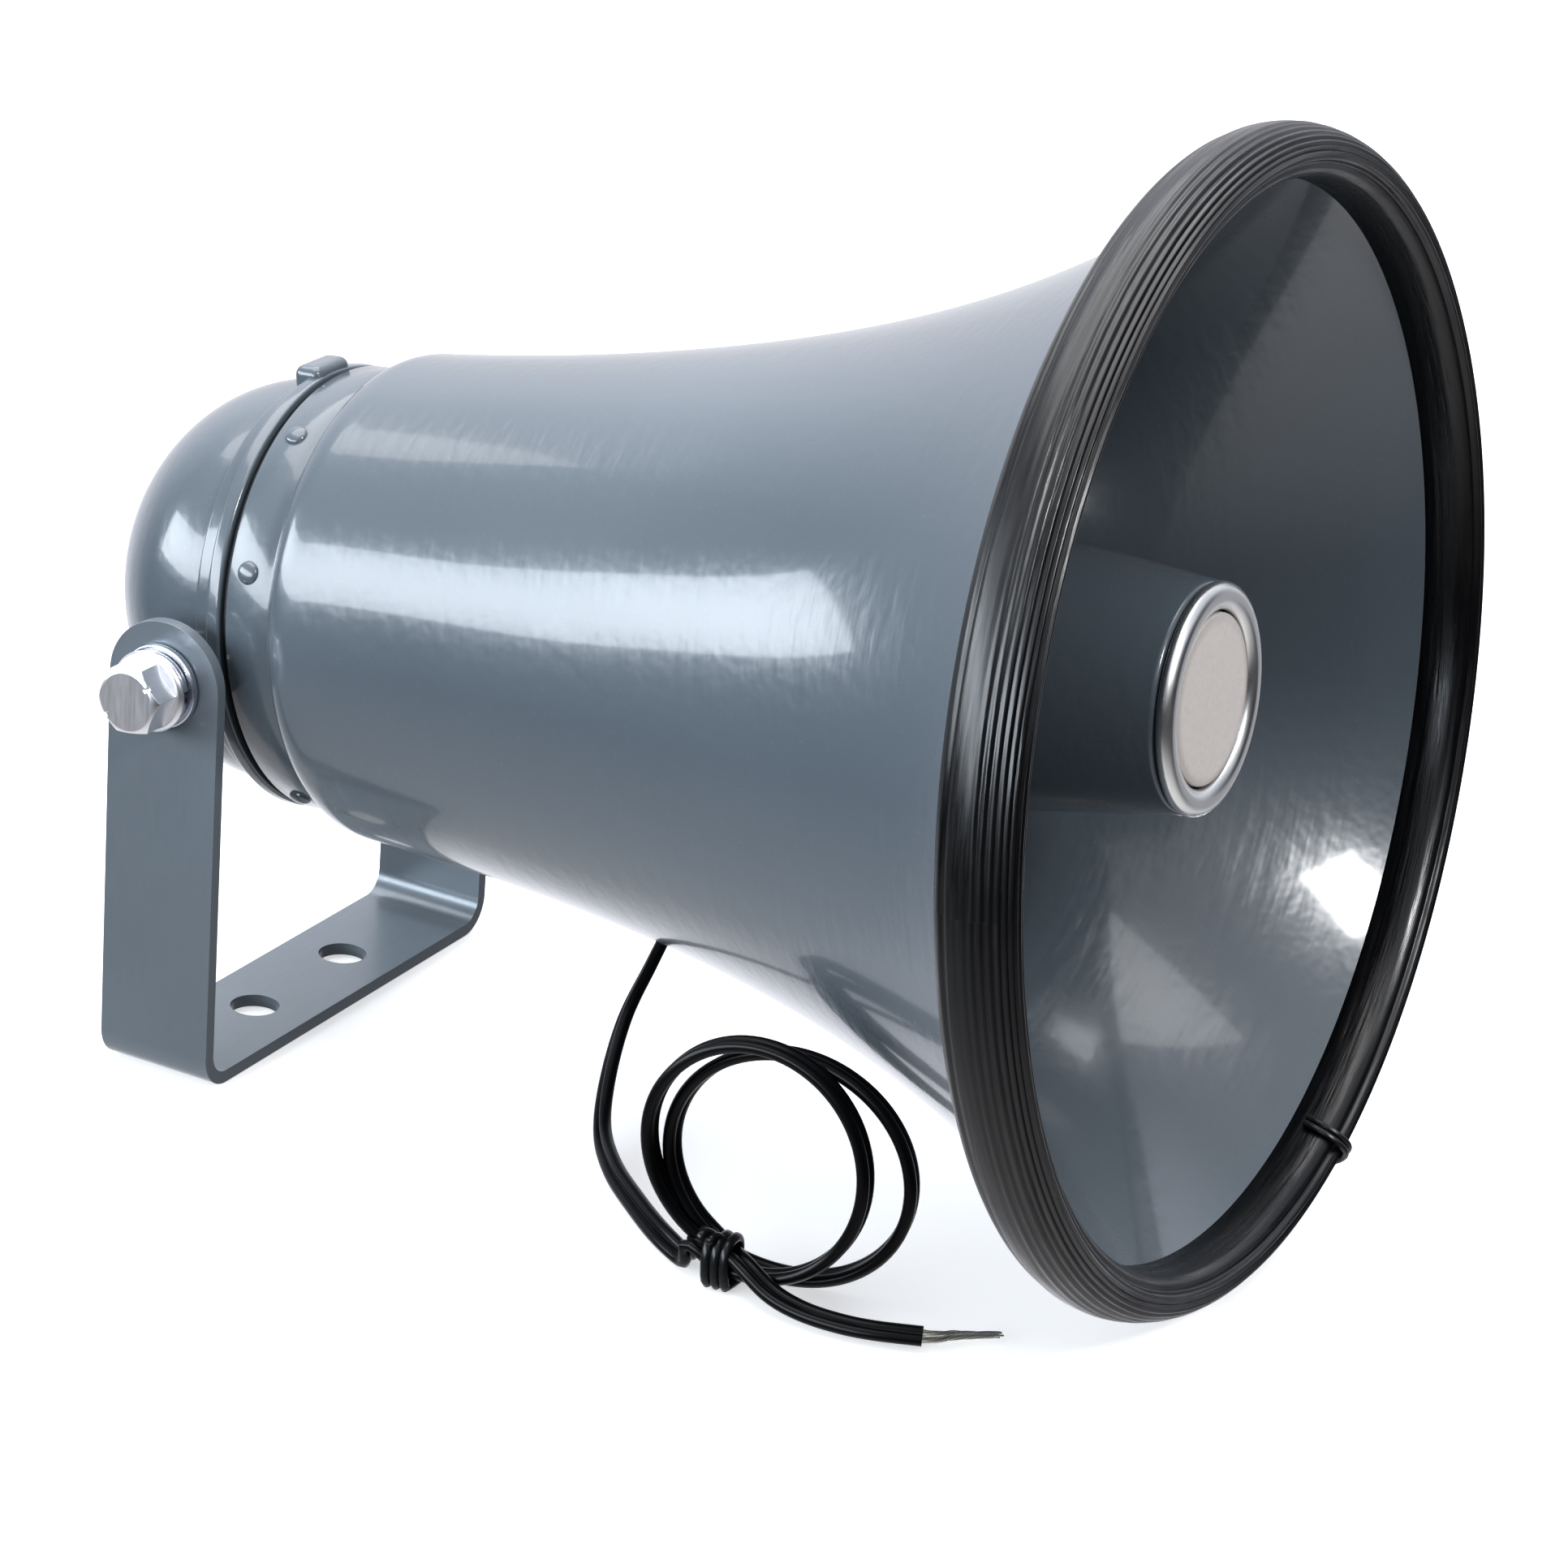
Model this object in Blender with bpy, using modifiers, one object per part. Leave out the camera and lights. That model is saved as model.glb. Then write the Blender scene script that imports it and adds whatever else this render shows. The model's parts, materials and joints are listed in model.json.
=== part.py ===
"""Reflex horn loudspeaker on a U bracket, modelled piece by piece.

Units are metres, +Z is up. The bracket's foot stands on z = 0 with its centre at the origin, the
pivot bolts lie along X, and the mouth of the horn faces -Y.
"""

import math

import bmesh
import bpy
from mathutils import Vector

MM = 0.001
GAP = 0.3 * MM

# Bracket
PIVOT_HEIGHT = 80.3 * MM
ARM_OUTSIDE = 49.7 * MM
STRIP_WIDTH = 24.2 * MM
STRIP_THICKNESS = 2.5 * MM
BEND_RADIUS = 7.0 * MM
FOOT_HOLE_RADIUS = 4.8 * MM
FOOT_HOLE_OFFSET = 15.5 * MM

# Horn placement: the bell's axis passes above the pivot, and the driver's axis above the bell's
TILT = math.radians(5.6)
BELL_RISE = 6.0 * MM
DRIVER_RISE = BELL_RISE + 4.4 * MM

# Bell
COLLAR_RADIUS = 42.6 * MM
COLLAR_BACK = 9.0 * MM
COLLAR_FRONT = 18.2 * MM
BODY_RADIUS = 46.8 * MM
BODY_BACK = 27.0 * MM
FLARE_GAIN = 6.83 * MM
FLARE_RATE = 13.0
BELL_END = 193.6 * MM
BELL_WALL = 1.2 * MM
BELL_EDGE_RUN = 10.0 * MM

# Edge trim
TRIM_CENTRE = 192.2 * MM
TRIM_RADIUS = 100.1 * MM
TRIM_HALF_DEPTH = 7.5 * MM
TRIM_HALF_HEIGHT = 4.9 * MM
TRIM_TIE_ANGLE = math.radians(-68.0)

# Reflector in the mouth
REFLECTOR_FACE = 186.0 * MM
REFLECTOR_BACK = 120.0 * MM
REFLECTOR_RADIUS = 20.8 * MM
REFLECTOR_TAPER = 0.12
REFLECTOR_WALL = 1.2 * MM
BADGE_RADIUS = 15.4 * MM
REFLECTOR_SCREW_HOLE = 2.3 * MM

# Throat and driver
THROAT_RADIUS = 10.5 * MM
THROAT_BORE = 8.5 * MM
THROAT_END = 150.0 * MM
FLANGE_BACK = 11.0 * MM
FLANGE_FRONT = 15.0 * MM

# Pivot bolts, M8
BOLT_RADIUS = 4.0 * MM
BOLT_HOLE_RADIUS = 4.35 * MM
HEX_CORNER_RADIUS = 6.9 * MM
HEX_HEIGHT = 7.4 * MM
HEX_FLANGE_RADIUS = 7.8 * MM
HEX_FLANGE_HEIGHT = 1.2 * MM
SPRING_WASHER_RADIUS = 7.2 * MM
SPRING_WASHER_THICKNESS = 1.9 * MM
FLAT_WASHER_RADIUS = 8.0 * MM
FLAT_WASHER_THICKNESS = 1.5 * MM
BOSS_RADIUS = 7.2 * MM

# Lugs on the rear cover and rivets round the collar
LUG_WIDTH = 11.5 * MM
LUG_INNER = 39.0 * MM
LUG_OUTER = 44.2 * MM
RIVET_ANGLES = (20, 58, 122, 160, 231, 309)
RIVET_PLACE = 13.4 * MM

# Cord: twin flex
CORD_RADIUS = 2.6 * MM
COIL_CENTRE = Vector((-53.5, -137.0, 24.3)) * MM
COIL_FACING = Vector((-0.995, -0.1, 0.0)).normalized()
COIL_OUTER = 23.8 * MM
COIL_INNER = 15.5 * MM
COIL_HALF_THICKNESS = 3.6 * MM
LEAD_ROUTE = (
    (5.7, -80.0, 37.4),
    (4.9, -79.4, 33.6),
    (0.5, -78.6, 27.6),
    (-7.5, -78.2, 19.5),
    (-15.5, -79.8, 10.5),
    (-24.0, -84.0, 4.4),
    (-33.5, -92.0, 2.9),
    (-42.5, -102.0, 2.8),
    (-50.5, -112.0, 2.8),
    (-56.5, -120.5, 2.9),
)
TAIL_ROUTE = (
    (-60.8, -138.0, 2.9),
    (-61.2, -145.0, 2.8),
    (-61.0, -152.5, 2.8),
    (-59.4, -160.0, 2.8),
    (-57.2, -166.5, 2.8),
)
# Distance past the tail, drop, and half the distance between the two bare wires
BARE_WIRE_ROUTE = ((0, -1.0, 1.25), (4, -1.3, 1.25), (9, -1.7, 1.1), (15.5, -2.1, 0.9))

# Grommet in the underside of the bell
GROMMET_PLACE = 76.0 * MM
GROMMET_ANGLE = math.radians(-84.0)
GROMMET_NECK = 4.2 * MM

ROUND = 48
ROUND_SMALL = 24


def clear_scene():
    for obj in list(bpy.data.objects):
        bpy.data.objects.remove(obj, do_unlink=True)


def new_collection(name, hidden=False):
    collection = bpy.data.collections.new(name)
    bpy.context.scene.collection.children.link(collection)
    collection.hide_render = hidden
    return collection


def material(name, colour, roughness, metallic=0.0):
    made = bpy.data.materials.new(name)
    made.use_nodes = True
    shader = made.node_tree.nodes["Principled BSDF"]
    shader.inputs["Base Color"].default_value = (*colour, 1.0)
    shader.inputs["Roughness"].default_value = roughness
    shader.inputs["Metallic"].default_value = metallic
    return made


clear_scene()
PARTS = new_collection("horn_loudspeaker")
CUTTERS = new_collection("cutters", hidden=True)

ENAMEL = material("blue_grey_enamel", (0.20, 0.24, 0.27), 0.25)
RUBBER = material("black_rubber", (0.02, 0.02, 0.02), 0.45)
ZINC = material("zinc_plate", (0.75, 0.76, 0.78), 0.25, 1.0)
BADGE = material("badge_plate", (0.62, 0.58, 0.54), 0.4)
CHROME = material("polished_ring", (0.85, 0.86, 0.88), 0.12, 1.0)
CAST = material("cast_alloy", (0.45, 0.46, 0.47), 0.5, 1.0)
FERRITE = material("ferrite", (0.06, 0.06, 0.065), 0.6)
PHENOLIC = material("phenolic", (0.35, 0.18, 0.07), 0.5)
COPPER = material("copper", (0.72, 0.35, 0.2), 0.35, 1.0)
VINYL = material("black_vinyl", (0.015, 0.015, 0.016), 0.35)
NYLON = material("black_nylon", (0.02, 0.02, 0.02), 0.5)


def empty(name, location, rotation=(0.0, 0.0, 0.0), parent=None):
    made = bpy.data.objects.new(name, None)
    made.location = location
    made.rotation_euler = rotation
    made.parent = parent
    PARTS.objects.link(made)
    return made


# Local +Z of these frames is the horn's axis towards the mouth, and local +Y is up across it.
HORN = empty("horn_pivot", (0, 0, PIVOT_HEIGHT), (math.pi / 2 - TILT, 0, 0))
BELL_AXIS = empty("bell_axis", (0, BELL_RISE, 0), parent=HORN)
DRIVER_AXIS = empty("driver_axis", (0, DRIVER_RISE, 0), parent=HORN)


def add(mesh, name, finish, parent=None, cutter=False):
    obj = bpy.data.objects.new(name, mesh)
    obj.parent = parent
    if cutter:
        CUTTERS.objects.link(obj)
        obj.hide_render = True
        obj.display_type = "WIRE"
    else:
        PARTS.objects.link(obj)
        obj.data.materials.append(finish)
    return obj


def smooth(obj, angle=35.0):
    obj.data.shade_smooth()
    obj.data.set_sharp_from_angle(angle=math.radians(angle))


def turned(name, profile, finish=None, parent=None, steps=ROUND, closed=True, cutter=False):
    """A profile of (radius, height) points turned about local Z; its outer side runs downwards."""
    mesh = bpy.data.meshes.new(name)
    points = [(radius, 0.0, height) for radius, height in profile]
    edges = [(i, i + 1) for i in range(len(points) - 1)]
    if closed:
        edges.append((len(points) - 1, 0))
    mesh.from_pydata(points, edges, [])
    obj = add(mesh, name, finish, parent, cutter)
    screw = obj.modifiers.new("turn", "SCREW")
    screw.axis = "Z"
    screw.steps = steps
    screw.render_steps = steps
    screw.use_merge_vertices = True
    screw.merge_threshold = 0.00001
    screw.use_smooth_shade = True
    return obj


def disc(name, radius, bottom, top, finish=None, parent=None, steps=ROUND_SMALL, cutter=False):
    profile = [(0.0, top), (radius, top), (radius, bottom), (0.0, bottom)]
    return turned(name, profile, finish, parent, steps, closed=False, cutter=cutter)


def ring(name, inner, outer, bottom, top, finish, parent, steps=ROUND, cutter=False):
    profile = [(inner, top), (outer, top), (outer, bottom), (inner, bottom)]
    return turned(name, profile, finish, parent, steps, cutter=cutter)


def solidify(obj, wall):
    shell = obj.modifiers.new("wall", "SOLIDIFY")
    shell.thickness = wall
    shell.offset = -1.0
    shell.use_even_offset = True
    return obj


def boolean(obj, other, operation):
    cut = obj.modifiers.new(operation.lower() + "_" + other.name, "BOOLEAN")
    cut.operation = operation
    cut.object = other


def point_along(obj, location, direction):
    """Places an object so that its local Z runs along a direction of its parent's frame."""
    obj.location = location
    obj.rotation_mode = "QUATERNION"
    obj.rotation_quaternion = Vector(direction).to_track_quat("Z", "Y")


def block(name, size, location, finish=None, parent=None, cutter=False):
    mesh = bpy.data.meshes.new(name)
    shape = bmesh.new()
    bmesh.ops.create_cube(shape, size=1.0)
    bmesh.ops.scale(shape, vec=size, verts=shape.verts)
    shape.to_mesh(mesh)
    shape.free()
    obj = add(mesh, name, finish, parent, cutter)
    obj.location = location
    return obj


def to_mesh(curve_obj):
    """Turns a curve object into a mesh object with welded caps."""
    graph = bpy.context.evaluated_depsgraph_get()
    mesh = bpy.data.meshes.new_from_object(curve_obj.evaluated_get(graph))
    shape = bmesh.new()
    shape.from_mesh(mesh)
    bmesh.ops.remove_doubles(shape, verts=shape.verts, dist=0.00001)
    bmesh.ops.recalc_face_normals(shape, faces=shape.faces)
    shape.to_mesh(mesh)
    shape.free()
    return mesh


def outline_prism(name, points, half_length, finish=None, rotation=(0, 0, 0), cutter=False):
    """A closed outline in the local XY plane, extruded both ways along local Z."""
    data = bpy.data.curves.new(name, "CURVE")
    data.dimensions = "2D"
    data.fill_mode = "BOTH"
    data.extrude = half_length
    spline = data.splines.new("POLY")
    spline.points.add(len(points) - 1)
    for point, (x, y) in zip(spline.points, points):
        point.co = (x, y, 0.0, 1.0)
    spline.use_cyclic_u = True
    guide = bpy.data.objects.new(name + "_outline", data)
    CUTTERS.objects.link(guide)
    bpy.context.view_layer.update()
    mesh = to_mesh(guide)
    bpy.data.objects.remove(guide, do_unlink=True)
    obj = add(mesh, name, finish, None, cutter)
    obj.rotation_euler = rotation
    return obj


def tube(name, points, radius, finish, parent=None, sides=2):
    """A round wire or cord through points already spaced along a smooth route."""
    data = bpy.data.curves.new(name, "CURVE")
    data.dimensions = "3D"
    data.bevel_depth = radius
    data.bevel_resolution = sides
    data.use_fill_caps = True
    spline = data.splines.new("POLY")
    spline.points.add(len(points) - 1)
    for point, place in zip(spline.points, points):
        point.co = (*place, 1.0)
    obj = bpy.data.objects.new(name, data)
    obj.parent = parent
    data.materials.append(finish)
    PARTS.objects.link(obj)
    return obj


def smooth_route(points, spacing):
    """Points about a spacing apart along a Catmull-Rom curve through a route's own points."""
    ends = [2 * points[0] - points[1], *points, 2 * points[-1] - points[-2]]
    dense = []
    for p0, p1, p2, p3 in zip(ends, ends[1:], ends[2:], ends[3:]):
        for step in range(12):
            t = step / 12
            dense.append(
                0.5
                * (
                    2 * p1
                    + (p2 - p0) * t
                    + (2 * p0 - 5 * p1 + 4 * p2 - p3) * t**2
                    + (3 * p1 - p0 - 3 * p2 + p3) * t**3
                )
            )
    dense.append(points[-1])
    route = [dense[0]]
    for place in dense[1:-1]:
        if (place - route[-1]).length >= spacing:
            route.append(place)
    if (dense[-1] - route[-1]).length < 0.5 * spacing:
        route.pop()
    route.append(dense[-1])
    return route


def arc(centre, radius, start, end, count):
    """Points of a circular arc, angles in radians."""
    angles = [start + (end - start) * i / (count - 1) for i in range(count)]
    return [(centre[0] + radius * math.cos(a), centre[1] + radius * math.sin(a)) for a in angles]


def flare(axial):
    """Outer radius of the bell's exponential flare at an axial place."""
    return BODY_RADIUS + FLARE_GAIN * (math.exp(FLARE_RATE * (axial - BODY_BACK)) - 1)


# Bracket ------------------------------------------------------------------------------------


def make_yoke():
    half = ARM_OUTSIDE
    top = PIVOT_HEIGHT + STRIP_WIDTH
    inner = BEND_RADIUS - STRIP_THICKNESS
    inside = half - STRIP_THICKNESS
    outline = [(half, top)]
    outline += arc((half - BEND_RADIUS, BEND_RADIUS), BEND_RADIUS, 0, -math.pi / 2, 7)
    outline += arc((BEND_RADIUS - half, BEND_RADIUS), BEND_RADIUS, -math.pi / 2, -math.pi, 7)
    outline += [(-half, top), (-inside, top)]
    centre = (inner - inside, STRIP_THICKNESS + inner)
    outline += arc(centre, inner, -math.pi, -math.pi / 2, 7)
    centre = (inside - inner, STRIP_THICKNESS + inner)
    outline += arc(centre, inner, -math.pi / 2, 0, 7)
    outline += [(inside, top)]
    upright = (math.pi / 2, 0, 0)
    yoke = outline_prism("yoke", outline, STRIP_WIDTH / 2 + MM, ENAMEL, upright)

    wide = STRIP_WIDTH / 2
    side = [(-wide, -MM), (wide, -MM)]
    side += arc((0, PIVOT_HEIGHT), wide, 0, math.pi, 17)
    across = (math.pi / 2, 0, math.pi / 2)
    arm_shape = outline_prism("arm_shape", side, half + MM, rotation=across, cutter=True)
    boolean(yoke, arm_shape, "INTERSECT")

    bore = disc("arm_bore", BOLT_HOLE_RADIUS, -0.1, 0.1, cutter=True)
    point_along(bore, (0, 0, PIVOT_HEIGHT), (1, 0, 0))
    boolean(yoke, bore, "DIFFERENCE")
    for place, name in ((-FOOT_HOLE_OFFSET, "foot_bore_left"), (FOOT_HOLE_OFFSET, "foot_bore_right")):
        hole = disc(name, FOOT_HOLE_RADIUS, -0.01, 0.01, cutter=True)
        hole.location = (place, 0, 0)
        boolean(yoke, hole, "DIFFERENCE")
    smooth(yoke)


# Bell and its edge ----------------------------------------------------------------------------


def make_bell():
    count = 9
    start = BELL_END - BELL_EDGE_RUN
    places = [start + (BODY_BACK - start) * (i / count) ** 0.95 for i in range(count + 1)]
    profile = [(flare(a), a) for a in (BELL_END, *places)]
    profile += [
        (BODY_RADIUS - 0.3 * MM, 23.6 * MM),
        (BODY_RADIUS - 1.0 * MM, 21.2 * MM),
        (BODY_RADIUS - 2.3 * MM, 19.4 * MM),
        (COLLAR_RADIUS, COLLAR_FRONT),
        (COLLAR_RADIUS, COLLAR_BACK),
    ]
    bell = turned("bell", profile, ENAMEL, BELL_AXIS, closed=False)
    solidify(bell, BELL_WALL)

    hole = disc("grommet_bore", GROMMET_NECK + GAP, -6 * MM, 6 * MM, cutter=True, parent=BELL_AXIS)
    point_along(hole, *grommet_seat())
    boolean(bell, hole, "DIFFERENCE")


def make_edge_trim():
    """An oval strip whose slot takes the bell's edge."""
    rise = flare(BELL_END) - flare(BELL_END - BELL_EDGE_RUN)
    slope = math.atan2(rise, BELL_EDGE_RUN)
    along = Vector((math.cos(slope), math.sin(slope)))
    across = Vector((-math.sin(slope), math.cos(slope)))
    edge = Vector((BELL_END, flare(BELL_END))) - across * BELL_WALL / 2
    half_slot = BELL_WALL / 2 + 0.35 * MM
    bottom = edge + along * 0.4 * MM

    def to_oval(start):
        """The angle on the oval where a line from start, run back along the slot, leaves it."""
        x = (start.x - TRIM_CENTRE) / TRIM_HALF_DEPTH
        y = (start.y - TRIM_RADIUS) / TRIM_HALF_HEIGHT
        dx = -along.x / TRIM_HALF_DEPTH
        dy = -along.y / TRIM_HALF_HEIGHT
        a = dx * dx + dy * dy
        b = x * dx + y * dy
        c = x * x + y * y - 1
        distance = (-b + math.sqrt(b * b - a * c)) / a
        return math.atan2(y + dy * distance, x + dx * distance)

    upper = bottom + across * half_slot
    lower = bottom - across * half_slot
    start = to_oval(upper)
    end = to_oval(lower)
    start = start % (2 * math.pi)
    end = end % (2 * math.pi)
    count = 15
    profile = [(upper.y, upper.x)]
    for i in range(count):
        angle = start + (end - 2 * math.pi - start) * i / (count - 1)
        axial = TRIM_CENTRE + TRIM_HALF_DEPTH * math.cos(angle)
        profile.append((TRIM_RADIUS + TRIM_HALF_HEIGHT * math.sin(angle), axial))
    profile.append((lower.y, lower.x))
    turned("edge_trim", profile[::-1], RUBBER, BELL_AXIS)


def make_trim_tie():
    """A wire clip bent round the front and the outside of the trim where its ends meet."""
    radius = 0.8 * MM
    depth = TRIM_HALF_DEPTH + radius + GAP
    height = TRIM_HALF_HEIGHT + radius + GAP
    side = Vector((math.cos(TRIM_TIE_ANGLE), math.sin(TRIM_TIE_ANGLE), 0))
    points = []
    for i in range(15):
        angle = math.radians(-78 + (205 + 78) * i / 14)
        out = TRIM_RADIUS + height * math.sin(angle)
        points.append(side * out + Vector((0, 0, TRIM_CENTRE + depth * math.cos(angle))))
    tube("trim_tie", points, radius, NYLON, BELL_AXIS)


# Reflector ------------------------------------------------------------------------------------


def make_reflector():
    back_radius = REFLECTOR_RADIUS + REFLECTOR_TAPER * (REFLECTOR_FACE - REFLECTOR_BACK)
    profile = [
        (REFLECTOR_SCREW_HOLE, REFLECTOR_FACE),
        (REFLECTOR_RADIUS - 1.4 * MM, REFLECTOR_FACE),
        (REFLECTOR_RADIUS - 0.4 * MM, REFLECTOR_FACE - 0.5 * MM),
        (REFLECTOR_RADIUS, REFLECTOR_FACE - 1.5 * MM),
        (back_radius, REFLECTOR_BACK),
    ]
    reflector = turned("reflector", profile, ENAMEL, DRIVER_AXIS, closed=False)
    solidify(reflector, REFLECTOR_WALL)

    inner = BADGE_RADIUS + 0.5 * MM
    outer = REFLECTOR_RADIUS
    back = REFLECTOR_FACE + GAP
    front = back + 2.6 * MM
    profile = [(inner, front - 0.7 * MM), (inner + 0.7 * MM, front)]
    profile += [(outer - 1.6 * MM, front), (outer - 0.5 * MM, front - 0.5 * MM)]
    profile += [(outer, front - 1.6 * MM), (outer, back), (inner, back)]
    turned("reflector_ring", profile, CHROME, DRIVER_AXIS)

    badge_back = back + 0.7 * MM
    disc("badge_disc", BADGE_RADIUS, badge_back, badge_back + 1.0 * MM, BADGE, DRIVER_AXIS, ROUND)


def make_reflector_spider():
    """Hub and three fins that hold the reflector round the throat tube's end."""
    bottom = 126.0 * MM
    top = 138.0 * MM
    hub = ring("reflector_spider", THROAT_RADIUS + GAP, 13.4 * MM, bottom, top, CAST, DRIVER_AXIS, 32)
    fin_inner = 12.2 * MM
    fin_outer = 24.9 * MM
    for i in range(3):
        angle = math.radians(90 + 120 * i)
        middle = (fin_inner + fin_outer) / 2
        size = (fin_outer - fin_inner, 2.0 * MM, top - bottom - 1.0 * MM)
        place = (middle * math.cos(angle), middle * math.sin(angle), (bottom + top) / 2)
        fin = block(f"spider_fin_{i + 1}", size, place, parent=DRIVER_AXIS, cutter=True)
        fin.rotation_euler = (0, 0, angle)
        boolean(hub, fin, "UNION")

    shank = 1.9 * MM
    head = REFLECTOR_FACE + GAP
    profile = [(0, head), (shank, head), (shank, head - 22 * MM), (0, head - 22 * MM)]
    turned("reflector_screw", profile, ZINC, DRIVER_AXIS, ROUND_SMALL, closed=False)


def make_throat():
    lip = 4.0 * MM
    profile = [
        (THROAT_BORE + lip, THROAT_END),
        (THROAT_RADIUS + lip, THROAT_END),
        (THROAT_RADIUS + 1.3 * MM, THROAT_END - 6 * MM),
        (THROAT_RADIUS, THROAT_END - 11 * MM),
        (THROAT_RADIUS, FLANGE_BACK + GAP),
        (THROAT_BORE, FLANGE_BACK + GAP),
        (THROAT_BORE, THROAT_END - 11 * MM),
        (THROAT_BORE + 1.3 * MM, THROAT_END - 6 * MM),
    ]
    turned("throat_tube", profile, ENAMEL, DRIVER_AXIS, 32)

    outer = COLLAR_RADIUS - BELL_WALL - GAP
    flange = ring("throat_flange", THROAT_RADIUS, outer, FLANGE_BACK, FLANGE_FRONT, CAST, BELL_AXIS)
    bore = disc("throat_bore", THROAT_RADIUS + GAP, 0, 30 * MM, parent=DRIVER_AXIS, cutter=True, steps=32)
    boolean(flange, bore, "DIFFERENCE")


# Rear cover and driver ----------------------------------------------------------------------------


def make_gasket():
    ring("gasket", 36.0 * MM, COLLAR_RADIUS - 1.4 * MM, 7.9 * MM, 8.7 * MM, RUBBER, BELL_AXIS)


def make_rear_cover():
    """A turned can with a groove, a lug above and below, and a boss for each pivot bolt."""
    wall = 1.8 * MM
    inside = 37.3 * MM
    outside = inside + wall
    depth = 34.0 * MM
    boss_inner = 37.0 * MM

    def dome(radius, depth):
        """Quarter of an ellipse, from the can's wall to its middle."""
        places = []
        for i in range(9):
            angle = math.pi / 2 * i / 8
            out = radius * math.cos(angle) if i < 8 else 0.0
            places.append((out, -depth * math.sin(angle)))
        return places

    profile = dome(inside, depth - wall)[::-1]
    profile += [(inside, 7.6 * MM), (42.2 * MM, 7.6 * MM), (42.6 * MM, 6.9 * MM)]
    profile += [(42.6 * MM, 5.4 * MM), (42.0 * MM, 4.6 * MM), (40.4 * MM, 4.0 * MM)]
    profile += [(40.1 * MM, 0.9 * MM)]
    profile += dome(outside, depth)
    cover = turned("rear_cover", profile, ENAMEL, BELL_AXIS, closed=False)

    inner_face = ARM_OUTSIDE - STRIP_THICKNESS
    for side, word in ((-1, "left"), (1, "right")):
        boss = disc("pivot_boss_" + word, BOSS_RADIUS, boss_inner, inner_face - GAP, cutter=True)
        boss.parent = HORN
        point_along(boss, (0, 0, 0), (side, 0, 0))
        boolean(cover, boss, "UNION")
    for sign, word in ((1, "top"), (-1, "bottom")):
        size = (LUG_WIDTH, LUG_OUTER - LUG_INNER, 6.0 * MM)
        place = (0, sign * (LUG_INNER + LUG_OUTER) / 2, 4.3 * MM)
        lug = block("lug_" + word, size, place, parent=BELL_AXIS, cutter=True)
        rounding = lug.modifiers.new("rounding", "BEVEL")
        rounding.width = 1.7 * MM
        rounding.segments = 3
        boolean(cover, lug, "UNION")

    bore = disc("pivot_bore", BOLT_RADIUS + GAP, -60 * MM, 60 * MM, parent=HORN, cutter=True)
    point_along(bore, (0, 0, 0), (1, 0, 0))
    boolean(cover, bore, "DIFFERENCE")
    smooth(cover)


def make_driver():
    back_plate = [
        (0, 6.2 * MM),
        (8.5 * MM, 6.2 * MM),
        (8.5 * MM, -8.0 * MM),
        (28 * MM, -8.0 * MM),
        (28 * MM, -12 * MM),
        (0, -12 * MM),
    ]
    turned("back_plate", back_plate, ZINC, DRIVER_AXIS, 40, closed=False)
    ring("magnet", 14 * MM, 30 * MM, -7.7 * MM, 2.0 * MM, FERRITE, DRIVER_AXIS, 40)
    ring("top_plate", 11.2 * MM, 30 * MM, 2.3 * MM, 6.3 * MM, ZINC, DRIVER_AXIS, 40)
    ring("clamp_ring", 17 * MM, 29 * MM, 6.6 * MM, 10.6 * MM, CAST, DRIVER_AXIS, 40)

    plug = [(0, 26 * MM), (1.4 * MM, 22 * MM), (5.2 * MM, 12.2 * MM), (5.2 * MM, 11.4 * MM), (0, 11.4 * MM)]
    turned("phase_plug", plug, CAST, DRIVER_AXIS, 20, closed=False)

    ring("voice_coil", 9.4 * MM, 10.3 * MM, 0.6 * MM, 7.0 * MM, COPPER, DRIVER_AXIS, 32)
    dome = [(0, 10.2 * MM)]
    dome += [(6.0 * MM, 9.5 * MM), (9.6 * MM, 8.0 * MM), (12.5 * MM, 8.6 * MM), (15.6 * MM, 8.0 * MM)]
    dome += [(15.6 * MM, 7.6 * MM), (12.5 * MM, 8.1 * MM), (9.6 * MM, 7.4 * MM), (6.0 * MM, 9.0 * MM)]
    dome += [(0, 9.7 * MM)]
    turned("diaphragm", dome, PHENOLIC, DRIVER_AXIS, 32, closed=False)

    disc("terminal_plate", 12 * MM, -14.0 * MM, -12.4 * MM, PHENOLIC, DRIVER_AXIS, 20)
    for side, word in ((-1, "left"), (1, "right")):
        size = (1.0 * MM, 3.2 * MM, 5.0 * MM)
        block("terminal_tag_" + word, size, (side * 6 * MM, 0, -16.9 * MM), COPPER, DRIVER_AXIS)


def make_rivets():
    """Round-headed rivets that hold the bell's collar to the throat flange."""
    for i, degrees in enumerate(RIVET_ANGLES):
        angle = math.radians(degrees)
        side = Vector((math.cos(angle), math.sin(angle), 0))
        base = COLLAR_RADIUS + 0.05 * MM
        profile = [(0, 1.3 * MM), (1.2 * MM, 1.1 * MM), (2.0 * MM, 0.6 * MM), (2.2 * MM, 0), (0, 0)]
        rivet = turned(f"rivet_{i + 1}", profile, ENAMEL, BELL_AXIS, 14, closed=False)
        point_along(rivet, side * base + Vector((0, 0, RIVET_PLACE)), side)


# Pivot bolts --------------------------------------------------------------------------------------


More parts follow.
